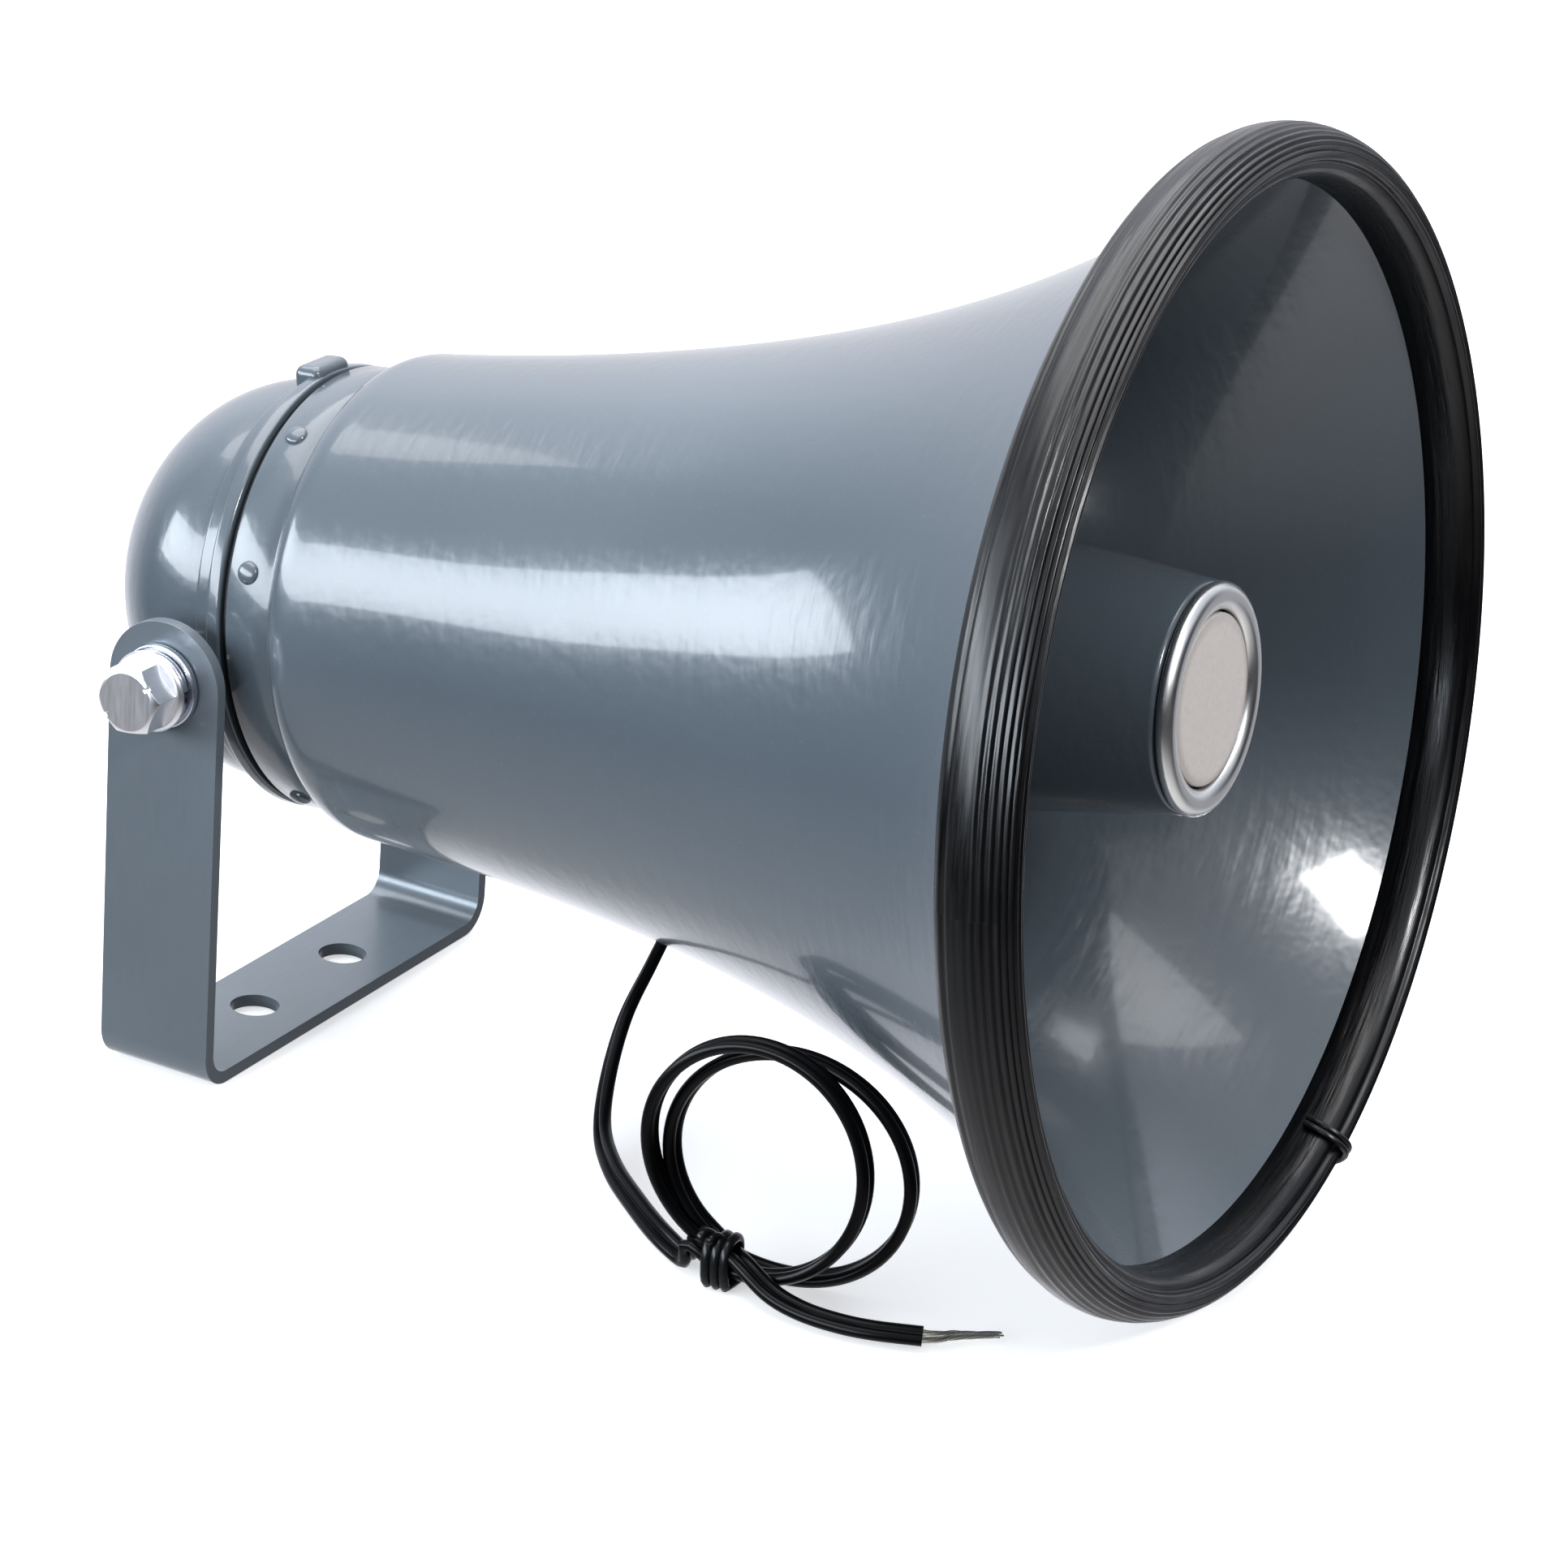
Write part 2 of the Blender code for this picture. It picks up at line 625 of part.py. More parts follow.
def make_bolts():
    for side, word in ((-1, "left"), (1, "right")):
        way = (side, 0, 0)
        washer_in = ARM_OUTSIDE + GAP
        washer_out = washer_in + FLAT_WASHER_THICKNESS
        bore = BOLT_RADIUS + 0.25 * MM
        name = "flat_washer_" + word
        washer = ring(name, bore, FLAT_WASHER_RADIUS, washer_in, washer_out, ZINC, HORN, 32)
        point_along(washer, (0, 0, 0), way)

        spring_in = washer_out + GAP
        spring_out = spring_in + SPRING_WASHER_THICKNESS
        name = "spring_washer_" + word
        spring = ring(name, bore, SPRING_WASHER_RADIUS, spring_in, spring_out, ZINC, HORN, 32)
        slit = block("spring_slit_" + word, (6 * MM, 1.2 * MM, 8 * MM), (0, 0, 0), cutter=True)
        slit.parent = spring
        slit.location = (5.8 * MM, 0, (spring_in + spring_out) / 2)
        slit.rotation_euler = (math.radians(25), 0, 0)
        boolean(spring, slit, "DIFFERENCE")
        point_along(spring, (0, 0, 0), way)

        head_in = spring_out + GAP
        corner = HEX_CORNER_RADIUS
        mesh = bpy.data.meshes.new("bolt_" + word)
        shape = bmesh.new()
        bmesh.ops.create_cone(
            shape,
            cap_ends=True,
            segments=6,
            radius1=corner,
            radius2=corner,
            depth=HEX_HEIGHT,
        )
        bmesh.ops.translate(shape, vec=(0, 0, head_in + HEX_HEIGHT / 2), verts=shape.verts)
        shape.to_mesh(mesh)
        shape.free()
        bolt = add(mesh, "bolt_" + word, ZINC, HORN)
        shank = disc("shank_" + word, BOLT_RADIUS, 38 * MM, head_in + MM, parent=bolt, cutter=True)
        boolean(bolt, shank, "UNION")
        flange_out = head_in + HEX_FLANGE_HEIGHT
        name = "flange_" + word
        flange = disc(name, HEX_FLANGE_RADIUS, head_in, flange_out, parent=bolt, cutter=True, steps=32)
        boolean(bolt, flange, "UNION")
        point_along(bolt, (0, 0, 0), way)


# Cord ---------------------------------------------------------------------------------------------


def grommet_seat():
    """Where the lead leaves the bell, and the way straight out of the bell's wall there."""
    side = Vector((math.cos(GROMMET_ANGLE), math.sin(GROMMET_ANGLE), 0))
    place = side * flare(GROMMET_PLACE) + Vector((0, 0, GROMMET_PLACE))
    slope = FLARE_GAIN * FLARE_RATE * math.exp(FLARE_RATE * (GROMMET_PLACE - BODY_BACK))
    return place, side - Vector((0, 0, slope))


def make_grommet():
    """A rubber bush with a groove round the bell's wall."""
    lip = GROMMET_NECK + 1.6 * MM
    inside = -(BELL_WALL + 2.1 * MM)
    profile = [
        (CORD_RADIUS + GAP, 3.4 * MM),
        (GROMMET_NECK, 3.4 * MM),
        (lip, 2.0 * MM),
        (lip, 0.5 * MM),
        (GROMMET_NECK, 0.5 * MM),
        (GROMMET_NECK, inside + 1.2 * MM),
        (lip - 0.6 * MM, inside + 1.2 * MM),
        (lip - 0.6 * MM, inside),
        (CORD_RADIUS + GAP, inside),
    ]
    grommet = turned("grommet", profile, RUBBER, BELL_AXIS, ROUND_SMALL)
    point_along(grommet, *grommet_seat())


def route_points(route):
    return [Vector(place) * MM for place in route]


def make_cord():
    tube("cord_lead", smooth_route(route_points(LEAD_ROUTE), 6 * MM), CORD_RADIUS, VINYL)
    tube("cord_tail", smooth_route(route_points(TAIL_ROUTE), 6 * MM), CORD_RADIUS, VINYL)

    coil = ring(
        "cord_coil",
        COIL_INNER,
        COIL_OUTER,
        -COIL_HALF_THICKNESS,
        COIL_HALF_THICKNESS,
        VINYL,
        None,
        40,
    )
    point_along(coil, COIL_CENTRE, COIL_FACING)

    end = Vector(TAIL_ROUTE[-1]) * MM
    for place, word in ((-1, "left"), (1, "right")):
        points = []
        for along, drop, apart in BARE_WIRE_ROUTE:
            spread = Vector((0.75, 0.66, 0)) * place * apart
            run = Vector((0.66, -0.75, 0)) * along
            points.append(end + (spread + run + Vector((0.3, -1.6, drop))) * MM)
        tube("bare_wire_" + word, points, 0.6 * MM, ZINC)


make_yoke()
make_bell()
make_edge_trim()
make_trim_tie()
make_reflector()
make_reflector_spider()
make_throat()
make_gasket()
make_rear_cover()
make_driver()
make_rivets()
make_bolts()
make_grommet()
make_cord()
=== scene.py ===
"""The finished look of a reflex horn loudspeaker on its U bracket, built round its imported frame."""

import json
import math
import random

import bmesh
import bpy
from bpy.props import FloatProperty, FloatVectorProperty, IntProperty, PointerProperty
from bpy.types import Operator, Panel, PropertyGroup
from mathutils import Matrix, Vector


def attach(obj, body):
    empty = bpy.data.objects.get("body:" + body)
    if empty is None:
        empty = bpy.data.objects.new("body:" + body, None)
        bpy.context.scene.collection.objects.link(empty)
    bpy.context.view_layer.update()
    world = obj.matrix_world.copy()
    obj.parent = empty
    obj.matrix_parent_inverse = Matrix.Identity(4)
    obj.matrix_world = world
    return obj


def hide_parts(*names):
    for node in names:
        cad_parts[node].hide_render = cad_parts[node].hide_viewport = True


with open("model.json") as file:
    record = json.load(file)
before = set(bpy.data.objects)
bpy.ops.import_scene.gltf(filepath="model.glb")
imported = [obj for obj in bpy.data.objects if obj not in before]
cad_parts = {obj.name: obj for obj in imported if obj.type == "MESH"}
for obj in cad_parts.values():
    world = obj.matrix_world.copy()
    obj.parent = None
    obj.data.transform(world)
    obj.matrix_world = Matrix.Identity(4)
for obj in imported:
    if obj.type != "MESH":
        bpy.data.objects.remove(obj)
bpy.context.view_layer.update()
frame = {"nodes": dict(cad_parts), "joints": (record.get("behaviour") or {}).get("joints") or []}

bl_info = {
    "name": "Horn Loudspeaker",
    "version": (1, 0, 0),
    "blender": (4, 5, 0),
    "location": "View3D > Sidebar > Horn",
    "description": "Builds the finished look of a reflex horn loudspeaker on its U bracket",
    "category": "Object",
}

MM = 0.001
BODY_HORN = "horn"
BODY_BRACKET = "bracket"

JOINTS = {joint["name"]: joint for joint in frame["joints"]}
PIVOT = Vector(JOINTS["horn_tilt"]["pos_m"])
SIDEWAYS = Vector(JOINTS["horn_tilt"]["axis"])
TO_MOUTH = Vector(JOINTS["diaphragm_travel"]["axis"]).normalized()
UPWARDS = TO_MOUTH.cross(SIDEWAYS)

# The bell's middle line runs above the pivot, and the reflector's above the bell's
BELL_RISE = 6.0 * MM
DRIVER_RISE = BELL_RISE + 4.4 * MM


def placed(origin, across, up, along):
    """A matrix whose local X, Y and Z run across, up and along."""
    turn = Matrix((across, up, along)).transposed().to_4x4()
    return Matrix.Translation(origin) @ turn


BELL_AXIS = placed(PIVOT + UPWARDS * BELL_RISE, SIDEWAYS, UPWARDS, TO_MOUTH)
DRIVER_AXIS = placed(PIVOT + UPWARDS * DRIVER_RISE, SIDEWAYS, UPWARDS, TO_MOUTH)

# Bell, from the collar at its back to the edge inside the trim
COLLAR_RADIUS = 42.6 * MM
COLLAR_BACK = 9.0 * MM
COLLAR_FRONT = 18.0 * MM
BODY_RADIUS = 46.8 * MM
BODY_BACK = 27.0 * MM
FLARE_GAIN = 6.83 * MM
FLARE_RATE = 13.0
BELL_END = 193.4 * MM
BELL_WALL = 1.2 * MM

# Edge trim and its clip
TRIM_CENTRE = 192.2 * MM
TRIM_RADIUS = 100.1 * MM
TRIM_HALF_DEPTH = 7.5 * MM
TRIM_HALF_HEIGHT = 4.9 * MM
RIB_START = -12
RIB_END = 96
RIB_SPACING = 12.0
CLIP_ANGLE = math.radians(-68.0)
CLIP_WIRE_RADIUS = 0.62 * MM

# Reflector, its rim and its badge
REFLECTOR_FACE = 186.0 * MM
REFLECTOR_BACK = 120.0 * MM
REFLECTOR_RADIUS = 20.8 * MM
REFLECTOR_TAPER = 0.12
REFLECTOR_WALL = 1.2 * MM
SCREW_HOLE_RADIUS = 0.0023
RIM_DEPTH = 2.6 * MM
BADGE_RADIUS = 15.4 * MM
BADGE_CROWN = 1.15

# Driver can, its lugs and its rivets
CAN_RADIUS = 39.1 * MM
CAN_DEPTH = 34.0 * MM
CAN_INSIDE = 37.3 * MM
CAN_WALL = 1.8 * MM
CAN_FRONT = 7.6 * MM
LUG_WIDTH = 11.5 * MM
LUG_DEPTH = 6.0 * MM
LUG_PLACE = 4.3 * MM
LUG_INNER = 39.0 * MM
LUG_OUTER = 44.2 * MM
BOSS_RADIUS = 7.2 * MM
BOSS_INNER = 37.0 * MM
RIVET_DEGREES = (20, 58, 122, 160, 231, 309)
RIVET_PLACE = 13.4 * MM
RIVET_RADIUS = 2.15 * MM

# Bracket
ARM_OUTSIDE = 49.7 * MM
STRIP_WIDTH = 24.2 * MM
STRIP_THICKNESS = 2.5 * MM
BEND_RADIUS = 7.0 * MM
FOOT_HOLE_RADIUS = 4.8 * MM
FOOT_HOLE_OFFSET = 15.5 * MM

# Bolts and washers
BOLT_RADIUS = 4.0 * MM
HEX_CORNER_RADIUS = 6.9 * MM
HEX_HEIGHT = 7.4 * MM
HEX_FLANGE_RADIUS = 7.8 * MM
HEX_FLANGE_HEIGHT = 1.2 * MM
THREAD_PITCH = 1.25 * MM
BOLT_END = 38 * MM
SPRING_RADIUS = 7.2 * MM
SPRING_THICKNESS = 1.9 * MM
FLAT_RADIUS = 8.0 * MM
FLAT_THICKNESS = 1.5 * MM
GAP = 0.3 * MM

# Twin flex
CORE_RADIUS = 1.18 * MM
CORE_OFFSET = 1.1 * MM
FLEX_WIDTH = 2 * (CORE_RADIUS + CORE_OFFSET)
LEAD_TWIST = math.radians(60)
LEAD_TWIST_ENDS = 0.22
GROMMET_PLACE = 76.0 * MM
GROMMET_ANGLE = math.radians(-84.0)
GROMMET_NECK = 4.2 * MM
LEAD_ROUTE = (
    (5.5, -80.3, 41.0),
    (5.7, -80.0, 37.4),
    (4.9, -79.4, 33.6),
    (0.5, -78.6, 27.6),
    (-7.5, -78.2, 19.5),
    (-15.5, -79.8, 10.5),
    (-24.0, -84.0, 4.2),
    (-33.5, -92.0, 2.5),
    (-42.5, -102.0, 2.3),
    (-50.5, -112.0, 2.3),
    (-55.5, -120.5, 2.3),
)
TAIL_ROUTE = (
    (-58.6, -133.0, 6.6),
    (-60.3, -140.0, 3.6),
    (-61.0, -146.5, 2.5),
    (-60.8, -153.5, 2.3),
    (-59.4, -160.0, 2.3),
    (-55.9, -168.5, 2.3),
)
TIE_MIDDLE = Vector((-56.3, -128.4, 4.2)) * MM
TIE_HALF_WIDTH = 3.6
TIE_HALF_HEIGHT = 5.0
TIE_BOTTOM = -3.15
STRANDS = 7
BARE_LENGTH = 15.5
LOOP_PLANE = Vector((0.1, -0.995, 0.0)).normalized()
LOOPS = (
    {"middle": (-56.2, -132.8, 25.6), "half_width": 20.9, "half_height": 22.2},
    {"middle": (-51.6, -137.6, 24.3), "half_width": 22.9, "half_height": 21.4},
)

# Room: how it brightens from below to above, and towards its far wall
WHITE = (1.0, 1.0, 1.0, 1.0)
HEIGHT_STOPS = (
    (0.0, (0.95, 0.95, 0.97)),
    (0.16, (0.62, 0.62, 0.64)),
    (0.34, (0.07, 0.07, 0.075)),
    (0.55, (0.03, 0.03, 0.035)),
    (0.66, (0.22, 0.24, 0.27)),
    (0.80, (0.60, 0.64, 0.70)),
    (1.0, (1.0, 1.0, 1.05)),
)
FAR_WALL = (0.87, 0.49, 0.0)
FAR_WALL_STOPS = (
    (0.0, (0.0, 0.0, 0.0)),
    (0.70, (0.0, 0.0, 0.0)),
    (0.90, (0.9, 0.92, 1.0)),
    (1.0, (1.0, 1.0, 1.05)),
)
LIT_PLACE = Vector((0, -0.08, 0.09))
LAMP_DISTANCE = 1.5

# Each look's material, the body that its pieces ride on, and the slot that they fill
LOOKS = {
    "enamel": ("enamel", BODY_HORN, "enamel"),
    "strip": ("bracket", BODY_BRACKET, "enamel"),
    "trim": ("rubber", BODY_HORN, "black_rubber"),
    "clip": ("nylon", BODY_HORN, "black_plastic"),
    "rim": ("rim", BODY_HORN, "polished_ring"),
    "badge": ("badge", BODY_HORN, "badge_plate"),
    "washer": ("washer", BODY_BRACKET, "zinc"),
    "bolt": ("bolt", BODY_BRACKET, "zinc"),
    "flex": ("flex", BODY_HORN, "cord_vinyl"),
    "tie": ("nylon", BODY_HORN, "cord_vinyl"),
    "wire": ("tinned", BODY_HORN, "tinned_wire"),
    "grommet": ("grommet", BODY_HORN, "black_rubber"),
}
MATERIALS = {}


# Shader helpers


class Socket:
    """A shader value that can be used in sums; each sum adds its Math node."""

    def __init__(self, graph, socket):
        self.graph = graph
        self.socket = socket

    def __add__(self, other):
        return self.graph.math("ADD", self, other)

    __radd__ = __add__

    def __sub__(self, other):
        return self.graph.math("SUBTRACT", self, other)

    def __rsub__(self, other):
        return self.graph.math("SUBTRACT", other, self)

    def __mul__(self, other):
        return self.graph.math("MULTIPLY", self, other)

    __rmul__ = __mul__

    def __truediv__(self, other):
        return self.graph.math("DIVIDE", self, other)

    def __rtruediv__(self, other):
        return self.graph.math("DIVIDE", other, self)

    def __pow__(self, other):
        return self.graph.math("POWER", self, other)


class Graph:
    """The node tree of a material or a world."""

    def __init__(self, owner):
        owner.use_nodes = True
        self.owner = owner
        self.tree = owner.node_tree

    def node(self, kind, settings=None, values=None, output=0):
        made = self.tree.nodes.new(kind)
        for key, value in (settings or {}).items():
            setattr(made, key, value)
        for key, value in (values or {}).items():
            self.feed(made.inputs[key], value)
        return Socket(self, made.outputs[output])

    def feed(self, target, value):
        if isinstance(value, Socket):
            self.tree.links.new(value.socket, target)
        else:
            target.default_value = value

    def finish(self, colour, roughness, **values):
        """Sets or links the surface shader's sockets; names use _ for spaces."""
        values.update(Base_Color=colour, Roughness=roughness)
        shader = self.tree.nodes["Principled BSDF"]
        for key, value in values.items():
            self.feed(shader.inputs[key.replace("_", " ")], value)
        return self.owner

    def math(self, operation, *values):
        return self.node("ShaderNodeMath", {"operation": operation}, dict(enumerate(values)))

    def position(self):
        return self.node("ShaderNodeTexCoord", output="Object")

    def noise(self, scale, detail=3.0, roughness=0.5, vector=None):
        values = {"Scale": scale, "Detail": detail, "Roughness": roughness}
        values["Vector"] = vector or self.position()
        return self.node("ShaderNodeTexNoise", {}, values)

    def ramp(self, value, stops):
        """Takes a value to the grey levels or colours of its stops."""
        made = self.node("ShaderNodeValToRGB", {}, {0: value})
        elements = made.socket.node.color_ramp.elements
        while len(elements) < len(stops):
            elements.new(1.0)
        for element, (position, level) in zip(elements, stops):
            element.position = position
            element.color = shade(level if isinstance(level, tuple) else (level, level, level))
        return made

    def mix(self, factor, first, second, blend="MIX"):
        settings = {"data_type": "RGBA", "blend_type": blend}
        return self.node("ShaderNodeMix", settings, {0: factor, 6: first, 7: second}, output=2)

    def clouded(self, base, low, high, scale, detail=4.0):
        """A colour that drifts between a darker and a lighter shade of its base."""
        return self.mix(self.noise(scale, detail), shade(base, low), shade(base, high))

    def bump(self, height, distance, strength=1.0, normal=None):
        values = {"Strength": strength, "Distance": distance, "Height": height}
        if normal:
            values["Normal"] = normal
        return self.node("ShaderNodeBump", {}, values)

    def parts(self, vector):
        made = self.node("ShaderNodeSeparateXYZ", {}, {0: vector})
        return [Socket(self, out) for out in made.socket.node.outputs]

    def joined(self, x, y, z):
        return self.node("ShaderNodeCombineXYZ", {}, {0: x, 1: y, 2: z})

    def horn_place(self):
        """(axial, radius, angle) of a point about the bell's axis."""
        x, y, z = self.parts(self.position())
        middle = BELL_AXIS.translation
        y = y - middle.y
        z = z - middle.z
        axial = y * TO_MOUTH.y + z * TO_MOUTH.z
        up = y * UPWARDS.y + z * UPWARDS.z
        return axial, (x * x + up * up) ** 0.5, self.math("ARCTAN2", up, x)


def material_graph(name):
    return Graph(bpy.data.materials.new(name))


def shade(colour, factor=1.0):
    return (colour[0] * factor, colour[1] * factor, colour[2] * factor, 1.0)


# Materials


def enamel_material(settings):
    """Glossy stove enamel over spun metal: orange peel, faint ripples and a few dust nibs."""
    graph = material_graph("bell_enamel")
    axial, _radius, angle = graph.horn_place()
    base = settings.enamel_colour
    nibs = graph.ramp(graph.noise(2600.0, 1.0), [(0.70, 0.0), (0.76, 1.0)])
    colour = graph.mix(nibs * 0.3, graph.clouded(base, 0.9, 1.1, 14.0), shade(base, 1.9))
    rough = settings.enamel_roughness + 0.1 * (graph.noise(30.0, 5.0) - 0.5)
    ripples = graph.noise(330.0, 2.0, vector=graph.joined(axial, angle * 0.012, 0.0))
    normal = graph.bump(graph.noise(330.0, 1.0), 0.08 * MM, 0.8)
    normal = graph.bump(ripples, 0.11 * MM, 0.9, normal)
    normal = graph.bump(graph.noise(28.0, 1.0), 0.5 * MM, 0.3, normal)
    coat = {"Specular_IOR_Level": 0.62, "Coat_Weight": 0.65, "Coat_Roughness": 0.07}
    return graph.finish(colour, rough, Normal=normal, **coat)


def bracket_material(settings):
    """The same enamel on rolled strip, a little duller, with a fine roller grain and scuffs."""
    graph = material_graph("bracket_enamel")
    base = settings.bracket_colour
    x, y, z = graph.parts(graph.position())
    grain = graph.noise(20.0, 4.0, vector=graph.joined(x * 6.0, y * 60.0, z * 6.0))
    scuffs = graph.ramp(graph.noise(170.0, 6.0, 0.7), [(0.66, 0.0), (0.72, 1.0)])
    colour = graph.mix(scuffs * 0.25, graph.clouded(base, 0.86, 1.14, 18.0), shade(base, 2.0))
    rough = 0.32 + 0.16 * (grain - 0.5) + 0.12 * scuffs
    normal = graph.bump(graph.noise(620.0, 2.0), 0.03 * MM, 0.8)
    normal = graph.bump(grain, 0.02 * MM, 0.6, normal)
    coat = {"Specular_IOR_Level": 0.6, "Coat_Weight": 0.3, "Coat_Roughness": 0.18}
    return graph.finish(colour, rough, Normal=normal, Metallic=0.35, **coat)


def rubber_material(settings):
    """Moulded rubber strip with streaks drawn out along it."""
    graph = material_graph("edge_rubber")
    axial, radius, angle = graph.horn_place()
    streaks = graph.noise(900.0, 3.0, 0.6, vector=graph.joined(axial, radius, angle * 0.006))
    base = settings.rubber_colour
    bloom = graph.ramp(graph.noise(26.0, 4.0), [(0.4, 0.0), (0.7, 1.0)])
    colour = graph.mix(bloom * 0.3, shade(base), shade(base, 2.2))
    rough = 0.27 + 0.5 * (streaks - 0.5) + 0.1 * bloom
    normal = graph.bump(streaks, 0.14 * MM, 0.9)
    return graph.finish(colour, rough, Normal=normal, Specular_IOR_Level=0.7)


def plain_rubber_material(name, base, roughness):
    graph = material_graph(name)
    grain = graph.noise(900.0, 3.0)
    colour = graph.clouded(base, 0.8, 1.3, 60.0, 3.0)
    rough = roughness + 0.14 * (grain - 0.5)
    return graph.finish(colour, rough, Normal=graph.bump(grain, 0.03 * MM, 0.6))


def plated_material(name, base, roughness, tint):
    """Bright plating: a faint passivation tint, wiping marks and small handling scratches."""
    graph = material_graph(name)
    cloud = graph.ramp(graph.noise(120.0, 3.0), [(0.35, 0.0), (0.7, 1.0)])
    colour = graph.mix(cloud, shade(base), shade(tint))
    x, y, z = graph.parts(graph.position())
    wiped = graph.noise(300.0, 4.0, 0.65, vector=graph.joined(x, y * 5.0, z * 0.6))
    rough = roughness + 0.14 * (wiped - 0.5)
    return graph.finish(colour, rough, Normal=graph.bump(wiped, 0.012 * MM, 0.5), Metallic=1.0)


def cast_material(name, base, roughness=0.5):
    graph = material_graph(name)
    grain = graph.noise(700.0, 5.0, 0.65)
    colour = graph.clouded(base, 0.85, 1.12, 50.0)
    rough = roughness + 0.16 * (grain - 0.5)
    return graph.finish(colour, rough, Normal=graph.bump(grain, 0.08 * MM, 0.7), Metallic=0.9)


def board_material(name, base):
    """Resin board and resin-treated cloth: a fine crossed weave under varnish."""
    graph = material_graph(name)
    x, _y, z = graph.parts(graph.position())
    weave = graph.math("SINE", x * 9000.0) * graph.math("SINE", z * 9000.0)
    colour = graph.clouded(base, 0.7, 1.3, 90.0)
    return graph.finish(colour, 0.45, Normal=graph.bump(weave, 0.02 * MM, 0.5))


def badge_material(settings):
    """A plain satin plate with a fine lathe-turned grain and no marking, with painted shade darkening
    it towards its edge inside the rim.
    """
    graph = material_graph("badge_plate")
    base = settings.badge_colour
    x, _y, z = graph.parts(graph.position())
    z = z - (DRIVER_AXIS.translation + TO_MOUTH * REFLECTOR_FACE).z
    radius = (x * x + z * z) ** 0.5
    angle = graph.math("ARCTAN2", z, x)
    rings = graph.noise(5200.0, 2.0, vector=graph.joined(radius, angle * 0.0008, 0.0))
    colour = graph.mix(graph.noise(900.0, 5.0, 0.7), shade(base, 0.86), shade(base, 1.12))
    # painted shade: the plate's colour darkens towards its edge, where the rim stands round it
    edge = graph.ramp(radius / BADGE_RADIUS, [(0.86, 0.0), (0.98, 1.0)])
    colour = graph.mix(edge * 0.5, colour, shade(base, 0.6))
    rough = 0.36 + 0.14 * (rings - 0.5)
    return graph.finish(colour, rough, Normal=graph.bump(rings, 0.01 * MM, 0.5), Metallic=0.25)


def flex_material(settings):
    """Black vinyl with the slight drag lines of its extrusion."""
    graph = material_graph("flex_vinyl")
    base = settings.flex_colour
    haze = graph.noise(70.0, 3.0)
    colour = graph.mix(haze, shade(base, 0.8), shade(base, 1.4))
    rough = 0.3 + 0.12 * (haze - 0.5)
    normal = graph.bump(graph.noise(1500.0, 3.0), 0.012 * MM, 0.6)
    return graph.finish(colour, rough, Normal=normal, Specular_IOR_Level=0.3)


def floor_material(settings):
    graph = material_graph("studio_floor")
    colour = graph.clouded(settings.floor_colour, 0.985, 1.0, 9.0, 3.0)
    glow = {"Emission_Color": WHITE, "Emission_Strength": settings.floor_glow}
    return graph.finish(colour, 0.7, Specular_IOR_Level=0.2, **glow)


def make_materials(settings):
    MATERIALS.update(
        enamel=enamel_material(settings),
        bracket=bracket_material(settings),
        rubber=rubber_material(settings),
        grommet=plain_rubber_material("grommet_rubber", (0.018, 0.018, 0.019), 0.5),
        nylon=plain_rubber_material("tie_plastic", (0.012, 0.012, 0.013), 0.28),
        bolt=plated_material("bolt_plating", (0.95, 0.94, 0.95), 0.34, (0.90, 0.91, 0.95)),
        washer=plated_material("washer_plating", (0.74, 0.75, 0.78), 0.26, (0.68, 0.71, 0.78)),
        rim=plated_material("reflector_rim_polish", (0.97, 0.97, 0.95), 0.3, (0.92, 0.92, 0.90)),
        tinned=plated_material("tinned_strand", (0.90, 0.86, 0.76), 0.24, (0.82, 0.80, 0.76)),
        steel=plated_material("driver_steel", (0.62, 0.62, 0.64), 0.3, (0.6, 0.58, 0.5)),
        cast=cast_material("cast_alloy", (0.46, 0.47, 0.48)),
        ferrite=cast_material("ferrite_ceramic", (0.05, 0.05, 0.055), 0.6),
        copper=cast_material("enamelled_copper", (0.70, 0.30, 0.14), 0.3),
        board=board_material("resin_board", (0.30, 0.14, 0.05)),
        badge=badge_material(settings),
        flex=flex_material(settings),
    )


# Mesh helpers


def mesh_object(name, shape):
    """Makes an object of a bmesh and puts it in the scene."""
    bmesh.ops.recalc_face_normals(shape, faces=shape.faces)
    mesh = bpy.data.meshes.new(name)
    shape.to_mesh(mesh)
    shape.free()
    made = bpy.data.objects.new(name, mesh)
    bpy.context.scene.collection.objects.link(made)
    return made


def finished(name, shape, look, sharp=35.0):
    """Makes a piece of a bmesh, smooths it, and gives it its look and body."""
    piece = mesh_object(name, shape)
    material, body, slot = LOOKS[look]
    piece.data.materials.append(MATERIALS[material])
    piece.data.shade_smooth()
    piece.data.set_sharp_from_angle(angle=math.radians(sharp))
    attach(piece, body)
    return piece


def turned_shape(profile, place, segments, closed=True, wobble=None):
    """A profile of (radius, along) points turned about a matrix's Z axis."""
    shape = bmesh.new()
    rings = []
    for radius, along in profile:
        if radius < 1e-7:
            rings.append([shape.verts.new(place @ Vector((0, 0, along)))])
            continue
        ring = []
        for i in range(segments):
            angle = 2 * math.pi * i / segments
            out = radius + (wobble(angle, along) if wobble else 0.0)
            point = Vector((out * math.cos(angle), out * math.sin(angle), along))
            ring.append(shape.verts.new(place @ point))
        rings.append(ring)
    pairs = list(zip(rings, rings[1:]))
    if closed:
        pairs.append((rings[-1], rings[0]))
    for first, second in pairs:
        for i in range(segments):
            j = (i + 1) % segments
            if len(first) == 1 and len(second) == 1:
                break
            if len(first) == 1:
                shape.faces.new((first[0], second[i], second[j]))
            elif len(second) == 1:
                shape.faces.new((first[i], second[0], first[j]))
            else:
                shape.faces.new((first[i], second[i], second[j], first[j]))
    return shape


